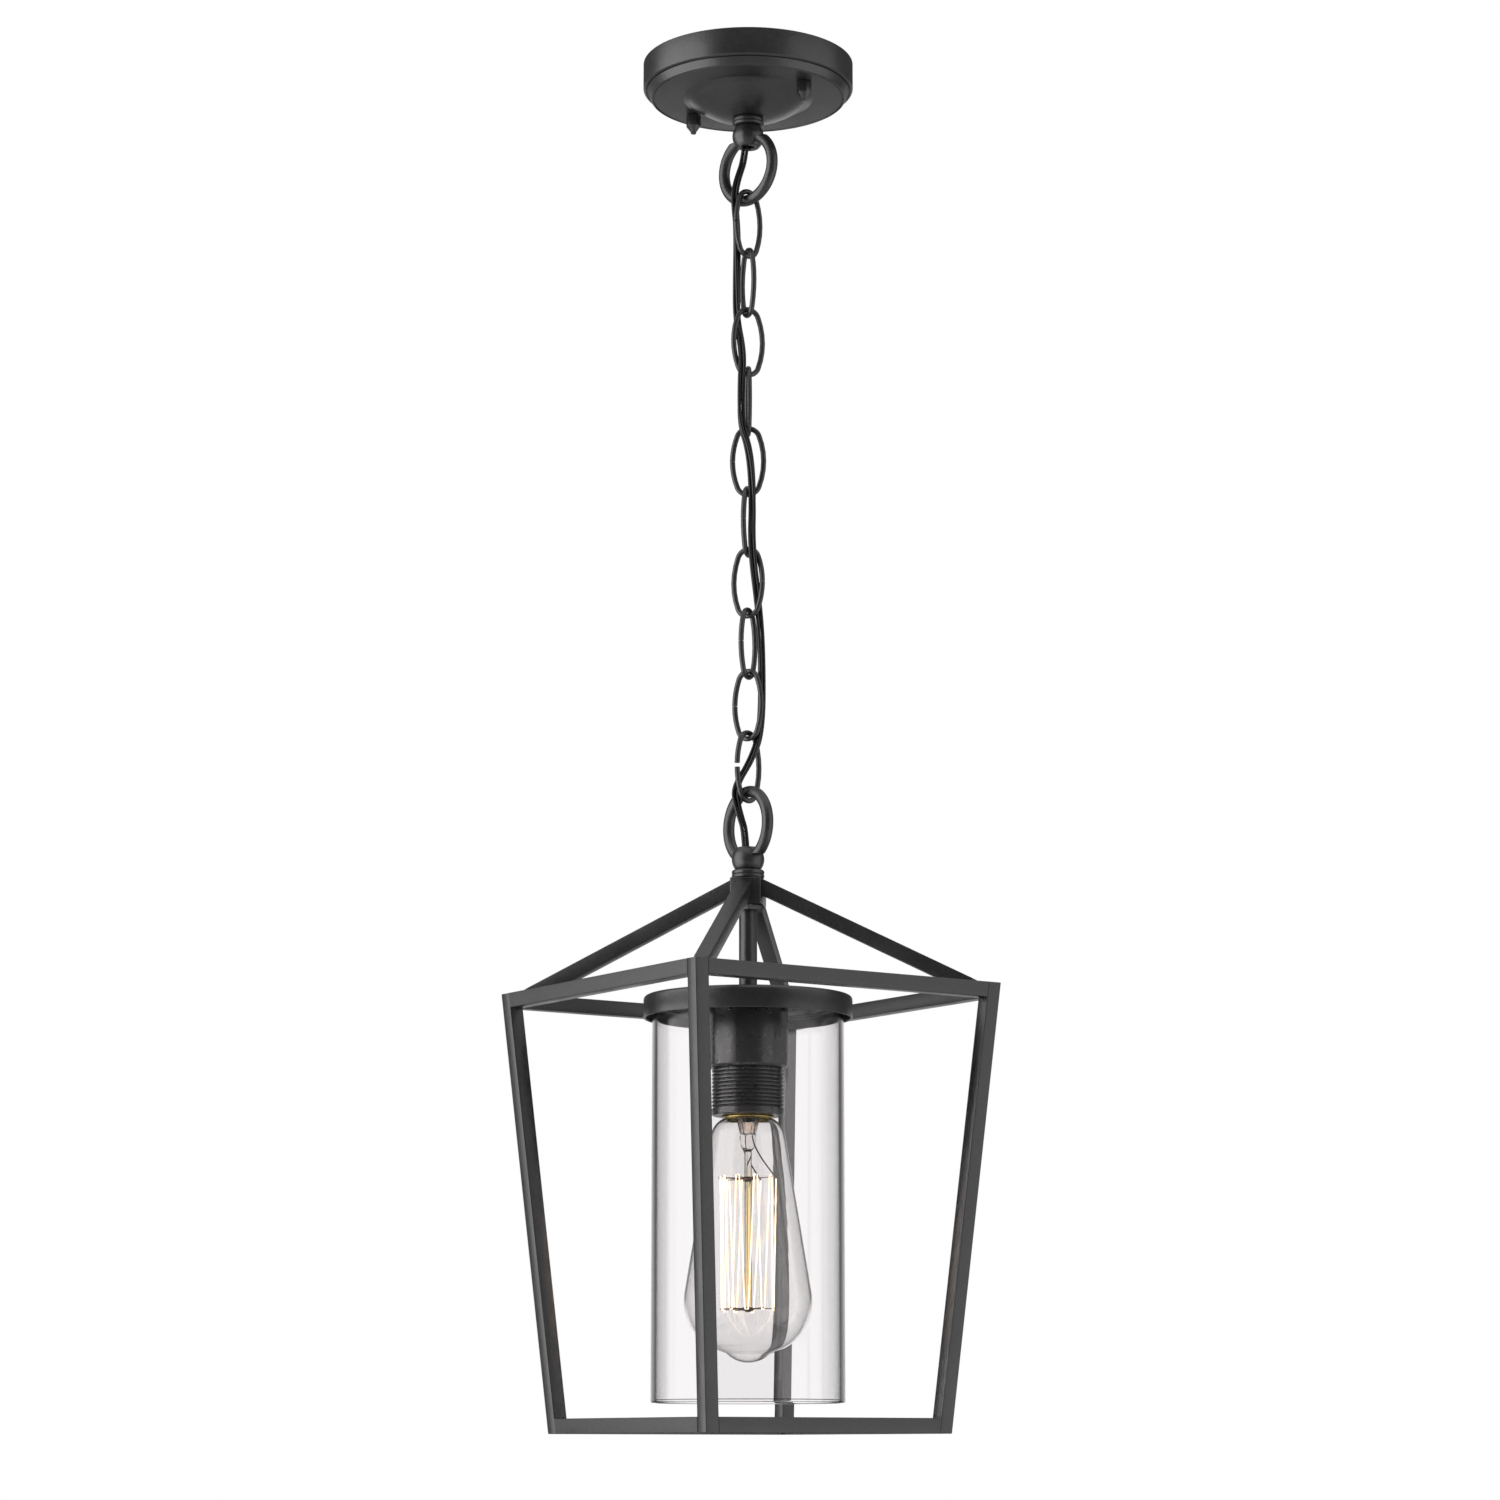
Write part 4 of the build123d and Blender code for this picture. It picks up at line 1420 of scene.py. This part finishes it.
@dataclass
class Cage(Assembly):
    """The leaning square cage, its roof bars and the hub that they meet in."""

    body: str = "lantern"
    loop_height: float = -461.3
    loop_turn: float = -89.5
    collar_top: float = -467.3
    top: float = -532.7
    bottom: float = -773.2
    bar: float = 8.2
    bar_edge: float = 0.45
    hub_edge: float = 0.6
    nut_edge: float = 0.4
    bore: float = 5.6
    long_share: float = 1.6
    sides: int = 4

    def is_long(self, start: Vector, end: Vector) -> bool:
        """Whether an edge runs along a bar."""
        return (end - start).length > self.bar * self.long_share * MM

    def is_long_or_end(self, start: Vector, end: Vector) -> bool:
        """Whether an edge runs along a post or round the outside of its ends.

        Args:
            start: one end of the edge.
            end: its other end.

        Returns:
            True for an edge to round off.
        """
        level = abs(start.z - end.z) < TOUCH
        at_end = abs(start.z - self.top * MM) < TOUCH or abs(start.z - self.bottom * MM) < TOUCH
        outside = max(abs(start.x + end.x), abs(start.y + end.y)) / 2
        far = outside > max(abs(start.x), abs(start.y), abs(end.x), abs(end.y)) - TOUCH
        return self.is_long(start, end) or (level and at_end and far)

    def is_outer(self, start: Vector, end: Vector) -> bool:
        """Whether an edge lies outside the bore of a nut or of the hub."""
        return min(Vector(start[:2]).length, Vector(end[:2]).length) > self.bore * MM

    def build_hub(self) -> None:
        """Round the hub and the nuts, and turn the lower collar."""
        widths = {"hub": self.hub_edge, "hub_nut": self.nut_edge, "stem_lock_nut": self.nut_edge}
        for node, width in widths.items():
            piece = softened(self.frame["nodes"][node], f"{node}_eased", width, self.is_outer)
            self.hand_over(piece, self.body, Slot.BLACK_METAL, node)
        Collar(self.frame, self.paint, self.body, self.collar_top).build()

    def build_bars(self) -> None:
        """Round the edges of one bar of each kind and copy it round the cage."""
        tests = {
            "top_bar": self.is_long,
            "bottom_bar": self.is_long,
            "roof_bar": self.is_long,
            "corner_post": self.is_long_or_end,
        }
        for kind, test in tests.items():
            pattern = softened(self.frame["nodes"][f"{kind}_1"], f"{kind}_pattern", self.bar_edge, test)
            for number in range(1, self.sides + 1):
                piece = copied(pattern, f"{kind}_{number}_smooth", 360 / self.sides * (number - 1))
                self.hand_over(piece, self.body, Slot.BLACK_METAL, f"{kind}_{number}")
            bpy.data.objects.remove(pattern)

    def build(self) -> None:
        """Build the cage from the loop down."""
        Loop(self.frame, self.paint, self.body, self.loop_height, self.loop_turn, Way.UP).build()
        self.build_hub()
        self.build_bars()


@dataclass
class LampAndGlass(Assembly):
    """Stem, glass holder, glass cylinder and the lamp holder inside it."""

    body: str = "lantern"
    stem_radius: float = 5.0
    stem_bore: float = 3.4
    stem_edge: float = 0.3
    stem_top: float = -463.7
    stem_bottom: float = -544.4
    holder_top: float = -537.2
    holder_radius: float = 57.3
    holder_height: float = 12.2
    holder_round: float = 2.2
    holder_bend: float = 1.2
    holder_edge: float = 0.5
    sheet: float = 1.2
    glass_top: float = -540.4
    glass_length: float = 216.5
    glass_radius: float = 52.5
    glass_wall: float = 2.6
    glass_plate: float = 3.0
    glass_round: Point2 = (4.0, 2.0)
    rim_round: float = 0.9
    hole: float = 20.1
    hole_edge: float = 0.5
    ring_radius: float = 22.0
    ring_bore: float = 19.92
    ring_length: float = 33.0
    ring_chamfer: Point2 = (1.1, 1.2)
    ring_edges: Point3 = (0.4, 0.5, 0.2)
    thread_radius: float = 19.8
    thread_depth: float = 1.2
    thread_pitch: float = 2.06
    thread_round: float = 0.15
    thread_shape: tuple[Point2, ...] = ((0.0, 0.0), (1.0, 0.26), (1.0, 0.38), (0.0, 0.6))
    thread_overlap: float = 2.0
    thread_margin: float = 1.4
    lamp_bottom: float = -602.0
    lamp_edge: float = 0.3
    lamp_rim: float = 0.7
    mouth_radius: float = 14.3
    mouth_depth: float = 32.0
    mouth_rim: float = 0.6
    mouth_bend: float = 0.2
    bore_floor: float = -548.0

    def build_stem(self) -> None:
        """Turn the hollow stem."""
        outline = rounded(
            [
                (self.stem_bore, self.stem_top, 0.0),
                (self.stem_radius, self.stem_top, self.stem_edge),
                (self.stem_radius, self.stem_bottom, self.stem_edge),
                (self.stem_bore, self.stem_bottom, 0.0),
            ]
        )
        piece = turned("hollow_stem", outline, facets=48)
        self.hand_over(piece, self.body, Slot.BLACK_METAL, "stem")

    def build_holder(self) -> None:
        """Spin the shallow cap with its rolled rim."""
        top, low = self.holder_top, self.holder_top - self.holder_height
        outer, inner = self.holder_radius, self.holder_radius - self.sheet
        outline = rounded(
            [
                (STEM_FIT, top, 0.0),
                (outer, top, self.holder_round),
                (outer, low, self.holder_edge),
                (inner, low, self.holder_edge),
                (inner, top - self.sheet, self.holder_bend),
                (STEM_FIT, top - self.sheet, 0.0),
            ]
        )
        piece = turned("glass_holder_cap", outline, facets=160)
        self.hand_over(piece, self.body, Slot.BLACK_METAL, "glass_holder")

    def build_glass(self) -> None:
        """Blow the cylinder with its rounded shoulder and polished rim."""
        top, low = self.glass_top, self.glass_top - self.glass_length
        outer, inner = self.glass_radius, self.glass_radius - self.glass_wall
        outline = rounded(
            [
                (self.hole, top, self.hole_edge),
                (outer, top, self.glass_round[0]),
                (outer, low, self.rim_round),
                (inner, low, self.rim_round),
                (inner, top - self.glass_plate, self.glass_round[1]),
                (self.hole, top - self.glass_plate, self.hole_edge),
            ],
            steps=8,
        )
        piece = turned("glass_tube", outline, facets=160)
        self.hand_over(piece, self.body, Slot.CLEAR_GLASS, "glass_cylinder")

    def build_ring(self) -> None:
        """Turn the long smooth ring that clamps the glass."""
        top = self.glass_top - self.glass_plate
        low = top - self.ring_length
        outline = rounded(
            [
                (self.ring_bore, top, 0.0),
                (self.ring_radius, top, self.ring_edges[0]),
                (self.ring_radius, low + self.ring_chamfer[1], self.ring_edges[1]),
                (self.ring_radius - self.ring_chamfer[0], low, self.ring_edges[0]),
                (self.ring_bore, low, self.ring_edges[2]),
            ]
        )
        piece = turned("long_shade_ring", outline, facets=96)
        self.hand_over(piece, self.body, Slot.BLACK_RESIN, "shade_ring")

    def build_lamp_holder(self) -> None:
        """Turn the threaded body that the ring screws onto, with its mouth and its bore."""
        top, low = self.holder_top - self.sheet, self.lamp_bottom
        crest = self.thread_radius
        corners: list[Corner] = [(STEM_FIT, top, 0.0), (crest, top, self.lamp_edge)]
        height = self.glass_top - self.glass_plate - self.ring_length + self.thread_overlap
        while height - self.thread_pitch > low + self.thread_margin:
            for inset, drop in self.thread_shape:
                radius = crest - inset * self.thread_depth
                corners.append((radius, height - drop * self.thread_pitch, self.thread_round))
            height -= self.thread_pitch
        corners += [
            (crest, low, self.lamp_rim),
            (self.mouth_radius, low, self.mouth_rim),
            (self.mouth_radius, low + self.mouth_depth, self.mouth_bend),
            (0.0, low + self.mouth_depth, 0.0),
            (0.0, self.bore_floor, 0.0),
            (STEM_FIT, self.bore_floor, 0.0),
        ]
        piece = turned("threaded_lamp_holder", rounded(corners, steps=3), facets=96)
        self.hand_over(piece, self.body, Slot.BLACK_RESIN, "lamp_holder")

    def build(self) -> None:
        """Build from the stem down, and paint what stays inside."""
        self.build_stem()
        self.build_holder()
        self.build_glass()
        self.build_ring()
        self.build_lamp_holder()
        self.keep(Slot.SOFT_WASHER, "glass_washer")
        self.keep(Slot.BRASS, "screw_shell", "centre_contact")


@dataclass
class Bulb(Assembly):
    """The pear-shaped bulb with its screw cap, glass press, spiders and long looped filament."""

    body: str = "bulb"
    cap_bottom: float = -603.1
    cap_radius: float = 13.1
    cap_length: float = 26.2
    cap_pitch: float = 3.6
    cap_thread: float = 0.75
    cap_thread_steps: int = 12
    cap_thread_start: float = 3.2
    cap_thread_margin: float = 2.6
    cap_skirt: tuple[Point2, ...] = (
        (12.5, 0.0),
        (12.9, -0.2),
        (13.3, -0.1),
        (13.45, 0.3),
        (13.3, 0.75),
        (13.0, 1.1),
        (13.0, 3.0),
    )
    cap_crown: tuple[Point2, ...] = ((8.2, -0.3), (7.0, 0.0), (6.5, -0.4))
    cap_lining: tuple[Point2, ...] = ((12.1, 3.0), (12.5, 0.0))
    cap_bend: Point2 = (0.8, 0.2)
    cap_bend_inside: Point2 = (1.5, -0.4)
    neck: float = 12.3
    neck_in_cap: float = 12.6
    shoulder: float = 20.3
    shoulder_drop: float = 9.4
    belly: float = 34.8
    belly_arc: float = 28.0
    belly_drop: float = 97.9
    belly_end: float = -63.0
    tip_drop: float = 32.5
    pip_radius: float = 12.0
    pip_height: float = 5.0
    wall: float = 0.9
    press_low: float = -620.5
    press_strips: int = 48
    flute_strips: int = 4
    flute_span: Point2 = (-8.0, 1.0)
    flute_scale: float = 0.9
    rod_radius: float = 1.95
    rod_below: float = 1.6
    hooks: int = 8
    first_turn: float = 29.0
    span: float = 297.0
    top_drop: float = 32.6
    drop: float = 69.4
    top_radius: float = 15.2
    bottom_radius: float = 14.4
    hook_half: float = 0.95
    hook_clear: float = 0.82
    filament_radius: float = 0.36
    bead_bore: float = 2.07
    bead_radius: float = 3.3
    bead_half: float = 0.8
    bead_round: float = 0.5
    arm_radius: float = 0.24
    arm_root: float = 3.0
    arm_bends: tuple[Point2, ...] = ((-0.8, 0.0), (0.9, 0.0), (1.2, 1.0))
    lead_radius: float = 0.4
    lead_roots: Point2 = (120.0, -94.0)
    lead_root_radius: float = 4.8
    lead_root_drop: float = 9.7
    lead_end_rise: float = 0.6

    def surface(self, inset: float) -> list[Point2]:
        """The bulb's outline from its neck to its tip.

        Args:
            inset: how far inside the outer glass it runs.

        Returns:
            The outline's points.
        """
        belly = (self.belly - self.belly_arc, self.cap_bottom - self.belly_drop)
        out, up = self.shoulder - belly[0], self.belly_drop - self.shoulder_drop
        taper = atan2(up, out) - acos(self.belly_arc / sqrt(out * out + up * up))
        step = self.shoulder - self.neck
        lean = step * cos(taper) - self.shoulder_drop * sin(taper)
        arc = (step**2 + self.shoulder_drop**2) / (2 * lean)
        hollow = (self.shoulder - arc * cos(taper), self.cap_bottom - self.shoulder_drop - arc * sin(taper))
        neck = self.neck - inset
        first = acos((neck - hollow[0]) / (arc - inset))
        pip_arc = (self.pip_radius**2 + self.pip_height**2) / (2 * self.pip_height)
        pip = (0.0, belly[1] - self.tip_drop + pip_arc)
        last = asin(self.pip_radius / pip_arc)
        points = [(neck, self.cap_bottom + self.neck_in_cap)]
        points += arc_about(hollow, arc - inset, first, taper - first, count=12)
        points += arc_about(belly, self.belly_arc - inset, taper, radians(self.belly_end) - taper, count=24)
        return points + arc_about(pip, pip_arc - inset, last - pi / 2, -last, count=10)

    def build_glass(self) -> None:
        """Blow the thin envelope."""
        outline = self.surface(0.0) + self.surface(self.wall)[::-1]
        piece = turned("blown_bulb", outline + outline[:1], facets=112)
        self.hand_over(piece, self.body, Slot.BULB_GLASS, "bulb_glass")

    def build_cap(self) -> None:
        """Roll the cap's round thread between its skirt and its shoulder."""
        bottom, top = self.cap_bottom, self.cap_bottom + self.cap_length
        outline = [(radius, bottom + rise) for radius, rise in self.cap_skirt]
        height = bottom + self.cap_thread_start
        while height + self.cap_pitch < top - self.cap_thread_margin:
            for index in range(self.cap_thread_steps):
                share = index / self.cap_thread_steps
                depth = self.cap_thread * (0.5 + 0.5 * cos(2 * pi * share))
                outline.append((self.cap_radius - depth, height + self.cap_pitch * share))
            height += self.cap_pitch
        outline.append((self.cap_radius - self.cap_bend[0], height + self.cap_bend[1]))
        outline += [(radius, top + rise) for radius, rise in self.cap_crown]
        outline.append((self.cap_radius - self.cap_bend_inside[0], height + self.cap_bend_inside[1]))
        outline += [(radius, bottom + rise) for radius, rise in self.cap_lining]
        piece = turned("rolled_bulb_cap", outline, facets=80)
        self.hand_over(piece, self.body, Slot.BRASS, "bulb_cap")

    def build_stem(self) -> None:
        """Turn the hollow flared press, the bulge below it and the long rod."""
        top, low = self.cap_bottom, self.press_low
        rod_end = self.level(Way.DOWN) - self.rod_below
        # Up the hollow and out to the flare's rim
        throat = (5.0, top - 0.6)
        outline: list[Point2] = [(0.0, low + 8.2), (2.6, low + 8.5)]
        outline += arc_through((3.3, low + 9.4), (3.9, top - 5.4), throat, count=6)
        outline += arc_through(throat, (6.4, top + 3.3), (10.0, top + 6.3), count=8)[1:]
        # Back down outside the flare to the press
        rim, waist = (11.1, top + 5.4), (6.1, top - 0.6)
        outline += [(11.1, top + 6.3), rim]
        outline += arc_through(rim, (7.4, top + 2.9), waist, count=8)[1:]
        outline += arc_through(waist, (5.0, top - 6.0), (4.3, low + 8.0), count=6)[1:]
        # The bulge below the press, and the rod
        chin = (4.0, low + 2.0)
        outline += arc_through((4.2, low + 7.0), (4.4, low + 4.5), chin, count=8)
        outline += arc_through(chin, (2.9, low + 0.7), (self.rod_radius, low - 0.6), count=6)[1:]
        outline += [(self.rod_radius, rod_end + 1.0), (self.rod_radius - 0.6, rod_end), (0.0, rod_end)]
        piece = turned("glass_press_and_rod", outline, facets=self.press_strips)
        self.flute(piece)
        self.hand_over(piece, self.body, Slot.BULB_GLASS, "bulb_stem", special=self.paint.stem_glass)

    def flute(self, piece: Piece) -> None:
        """Draw in half of the strips of every flute of the press.

        Args:
            piece: the turned press.
        """
        low, high = (self.cap_bottom + rise for rise in self.flute_span)
        chosen(piece)
        pick_nothing(Grip.CORNERS)
        for vertex in piece.data.vertices:
            strip = round(atan2(vertex.co.y, vertex.co.x) / (2 * pi) * self.press_strips)
            drawn_in = strip % self.flute_strips < self.flute_strips / 2
            vertex.select = drawn_in and low < vertex.co.z / MM < high
        with editing(Grip.CORNERS):
            scale = (self.flute_scale, self.flute_scale, 1)
            bpy.ops.transform.resize(value=scale, center_override=(0, 0, 0))

    def around(self, radius: float, turn: float, height: float) -> Point3:
        """A point at a radius, turn and height about the hang line."""
        return (radius * cos(radians(turn)), radius * sin(radians(turn)), height)

    def level(self, end: Way) -> float:
        """Height of the filament's upper or lower end."""
        return self.cap_bottom - self.top_drop - (self.drop if end is Way.DOWN else 0.0)

    def reach(self, end: Way) -> float:
        """Radius of the filament at its upper or lower end."""
        return self.top_radius if end is Way.UP else self.bottom_radius

    def hook_turns(self, end: Way) -> list[float]:
        """Turns of the hooks at one end of the filament.

        Args:
            end: its upper or lower end.

        Returns:
            The turns in degrees, in the order that the filament meets them.
        """
        step = self.span / self.hooks
        if end is Way.UP:
            return [self.first_turn + number * step for number in range(1, self.hooks)]
        return [self.first_turn + (number + 0.5) * step for number in range(self.hooks)]

    def over_hook(self, end: Way, turn: float) -> list[Point3]:
        """Where the filament goes round a hook.

        Args:
            end: the filament's end that the hook is at.
            turn: the hook's turn in degrees.

        Returns:
            The points on both sides of the hook.
        """
        radius = self.reach(end)
        half = degrees(self.hook_half / radius)
        height = self.level(end) + end.value * self.hook_clear
        return [self.around(radius, turn + side, height) for side in (-half, half)]

    def build_spider(self, end: Way) -> Piece:
        """Set a bead on the rod with one hooked wire, copied round to every hook.

        Args:
            end: the filament's end that it holds.

        Returns:
            The spider.
        """
        height = self.level(end)
        high, low = height + self.bead_half, height - self.bead_half
        outline = rounded(
            [
                (self.bead_bore, low, 0.0),
                (self.bead_radius, low, self.bead_round),
                (self.bead_radius, high, self.bead_round),
                (self.bead_bore, high, 0.0),
            ]
        )
        bead = turned("bead", outline, facets=32)
        bends = [(self.arm_root, 0.0, height)]
        for out, rise in self.arm_bends:
            bends.append((self.reach(end) + out, 0.0, height + end.value * rise))
        arm = tube_along("arm", bends, self.arm_radius, order=3, ring=2)
        arms = [copied(arm, f"arm_{turn:.0f}", turn) for turn in self.hook_turns(end)]
        bpy.data.objects.remove(arm)
        return joined(f"{end.name.lower()}_spider", [bead] + arms)

    def build_spiders(self) -> None:
        """Set a spider at each end of the filament."""
        piece = joined("filament_spiders", [self.build_spider(end) for end in (Way.UP, Way.DOWN)])
        self.hand_over(piece, self.body, Slot.SUPPORT_WIRE, "filament_supports")

    def build_filament(self) -> None:
        """Run the filament up and down over the hooks."""
        points = [self.around(self.top_radius, self.first_turn, self.level(Way.UP))]
        top_turns = self.hook_turns(Way.UP)
        for number, turn in enumerate(self.hook_turns(Way.DOWN)):
            points += self.over_hook(Way.DOWN, turn)
            if number < len(top_turns):
                points += self.over_hook(Way.UP, top_turns[number])
        points.append(self.around(self.top_radius, self.first_turn + self.span, self.level(Way.UP)))
        piece = tube_along("looped_filament", points, self.filament_radius, order=2)
        self.hand_over(piece, self.body, Slot.FILAMENT, "filament")

    def build_leads(self) -> None:
        """Lead a wire from the press to each end of the filament."""
        leads = []
        for root, end in zip(self.lead_roots, (self.first_turn, self.first_turn + self.span)):
            points = [
                self.around(self.lead_root_radius, root, self.cap_bottom - self.lead_root_drop),
                self.around(self.lead_root_radius, root, self.press_low),
                self.around(self.top_radius, end, self.level(Way.UP) + self.lead_end_rise),
            ]
            leads.append(tube_along(f"lead_{end:.0f}", points, self.lead_radius, order=3, ring=2))
        self.hand_over(joined("curved_leads", leads), self.body, Slot.SUPPORT_WIRE, "lead_wires")

    def build(self) -> None:
        """Build the bulb from its cap down."""
        self.build_cap()
        self.build_glass()
        self.build_stem()
        self.build_spiders()
        self.build_filament()
        self.build_leads()
        self.keep(Slot.BLACK_RESIN, "bulb_insulator")
        self.keep(Slot.SOLDER, "bulb_contact")


# The room


@dataclass(frozen=True)
class Panel:
    """A large soft light beside the lantern.

    Its turn is in degrees from the camera's side round to the right, its size is in metres, and a
    face of brightness 1 looks white.
    """

    name: str
    turn: float
    brightness: float
    width: float = 2.0
    height: float = 2.4


@dataclass
class Studio:
    """The pale room: floor, soft lights, white surround and the camera."""

    lens: float = 91.02
    sensor: float = 36.0
    distance: float = 2069.2
    eye_height: float = -782.6
    eye_turn: float = 236.1
    side_step: float = 1.08
    pitch: float = 10.483
    view_end: float = 50000.0
    floor_height: float = -2700.0
    floor_size: float = 14000.0
    panel_distance: float = 1500.0
    panel_height: float = -400.0
    panels: tuple[Panel, ...] = (Panel("left_panel", -77.0, 1.3), Panel("right_panel", 74.0, 0.45))
    fill: float = 0.25
    room: float = 0.1
    backdrop_reach: Point2 = (20.0, 45.0)
    backdrop_squeeze: float = 4.0
    backdrop_dip: float = 4.0
    ceiling: float = 0.6
    ceiling_reach: Point2 = (25.0, 60.0)

    def ways(self) -> tuple[Vector, Vector]:
        """Level directions about the camera.

        Returns:
            The direction of its view and that of its right hand.
        """
        at = radians(self.eye_turn)
        ahead = Vector((-cos(at), -sin(at), 0))
        return ahead, ahead.cross(Vector((0, 0, 1)))

    def build_camera(self) -> None:
        """Stand the camera at the picture's viewpoint, tilted up and without shift."""
        ahead, right = self.ways()
        camera = bpy.data.cameras.new("viewpoint")
        camera.lens = self.lens
        camera.sensor_width = self.sensor
        camera.clip_end = self.view_end * MM
        eye = bpy.data.objects.new("viewpoint", camera)
        place = Vector((0, 0, self.eye_height)) - ahead * self.distance + right * self.side_step
        eye.location = place * MM
        eye.rotation_euler = (pi / 2 + radians(self.pitch), 0, atan2(ahead.y, ahead.x) - pi / 2)
        bpy.context.scene.collection.objects.link(eye)
        bpy.context.scene.camera = eye

    def build_floor(self) -> None:
        """Lay a wide pale floor that is white to the eye and still takes a shadow."""
        fresh_start()
        bpy.ops.mesh.primitive_plane_add(size=self.floor_size * MM, location=(0, 0, self.floor_height * MM))
        floor = settle(named("studio_floor"))
        floor.data.materials.append(PaleFloor().make())

    def build_panel(self, light: Panel) -> None:
        """Stand one large soft panel beside the lantern and aim it at the middle.

        Args:
            light: the panel's size, turn and brightness.
        """
        ahead, right = self.ways()
        lamp = bpy.data.lights.new(light.name, "AREA")
        lamp.shape = "RECTANGLE"
        lamp.size = light.width
        lamp.size_y = light.height
        lamp.energy = pi * light.width * light.height * light.brightness
        panel = bpy.data.objects.new(light.name, lamp)
        level = right * sin(radians(light.turn)) - ahead * cos(radians(light.turn))
        middle = Vector((0, 0, self.panel_height)) * MM
        panel.location = level * self.panel_distance * MM + middle
        panel.rotation_euler = (middle - panel.location).to_track_quat("-Z", "Y").to_euler()
        bpy.context.scene.collection.objects.link(panel)

    def build_world(self) -> None:
        """Surround the lantern with white: full to the eye, soft as a light and dimmer in mirrors."""
        ahead, _ = self.ways()
        world = bpy.data.worlds.new("white_surround")
        world.use_nodes = True
        bench = NodeBench(world.node_tree)
        way = bench.coordinates.outputs["Generated"]
        # The backdrop behind the lantern, wider than it is tall
        dip = radians(self.backdrop_dip)
        middle = ahead * cos(dip) - Vector((0, 0, sin(dip)))
        squeezed = bench.work_out("VectorMath", "MULTIPLY", way, (1, 1, self.backdrop_squeeze))
        level = bench.work_out("VectorMath", "NORMALIZE", squeezed.outputs["Vector"])
        along = bench.work_out("VectorMath", "DOT_PRODUCT", level.outputs["Vector"], middle)
        near, far = (cos(radians(reach)) for reach in self.backdrop_reach)
        backdrop = bench.remap(along.outputs["Value"], (far, near), (self.room, 1.0), soft=True)
        # The ceiling overhead
        low, high = (sin(radians(reach)) for reach in self.ceiling_reach)
        height = bench.add("SeparateXYZ", Vector=way).outputs["Z"]
        overhead = bench.remap(height, (low, high), (0.0, self.ceiling), soft=True)
        # What mirrors show, what only fills, and white for the eye
        mirrored = bench.combine("MAXIMUM", backdrop, overhead)
        glossy = bench.add("LightPath").outputs["Is Glossy Ray"]
        strength = bench.remap(glossy, (0.0, 1.0), (self.fill, mirrored))
        whole = bench.combine("MAXIMUM", bench.seen_straight(), strength)
        bench.fill(world.node_tree.nodes["Background"], Color=(1.0, 1.0, 1.0, 1.0), Strength=whole)
        bpy.context.scene.world = world

    def build(self) -> None:
        """Set up the whole studio."""
        bpy.context.scene.view_settings.view_transform = "Standard"
        self.build_camera()
        self.build_floor()
        self.build_world()
        for panel in self.panels:
            self.build_panel(panel)


def main() -> None:
    """Load the solids, set up the studio and build every sub-assembly in turn."""
    logging.basicConfig(level=logging.INFO, format="%(message)s")
    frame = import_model()
    paint = Paintbox()
    Studio().build()
    Canopy(frame, paint).build()
    chain = Chain(frame, paint)
    chain.build()
    SupplyWires(frame, paint, chain).build()
    Cage(frame, paint).build()
    LampAndGlass(frame, paint).build()
    Bulb(frame, paint).build()


if __name__ == "__main__":
    main()
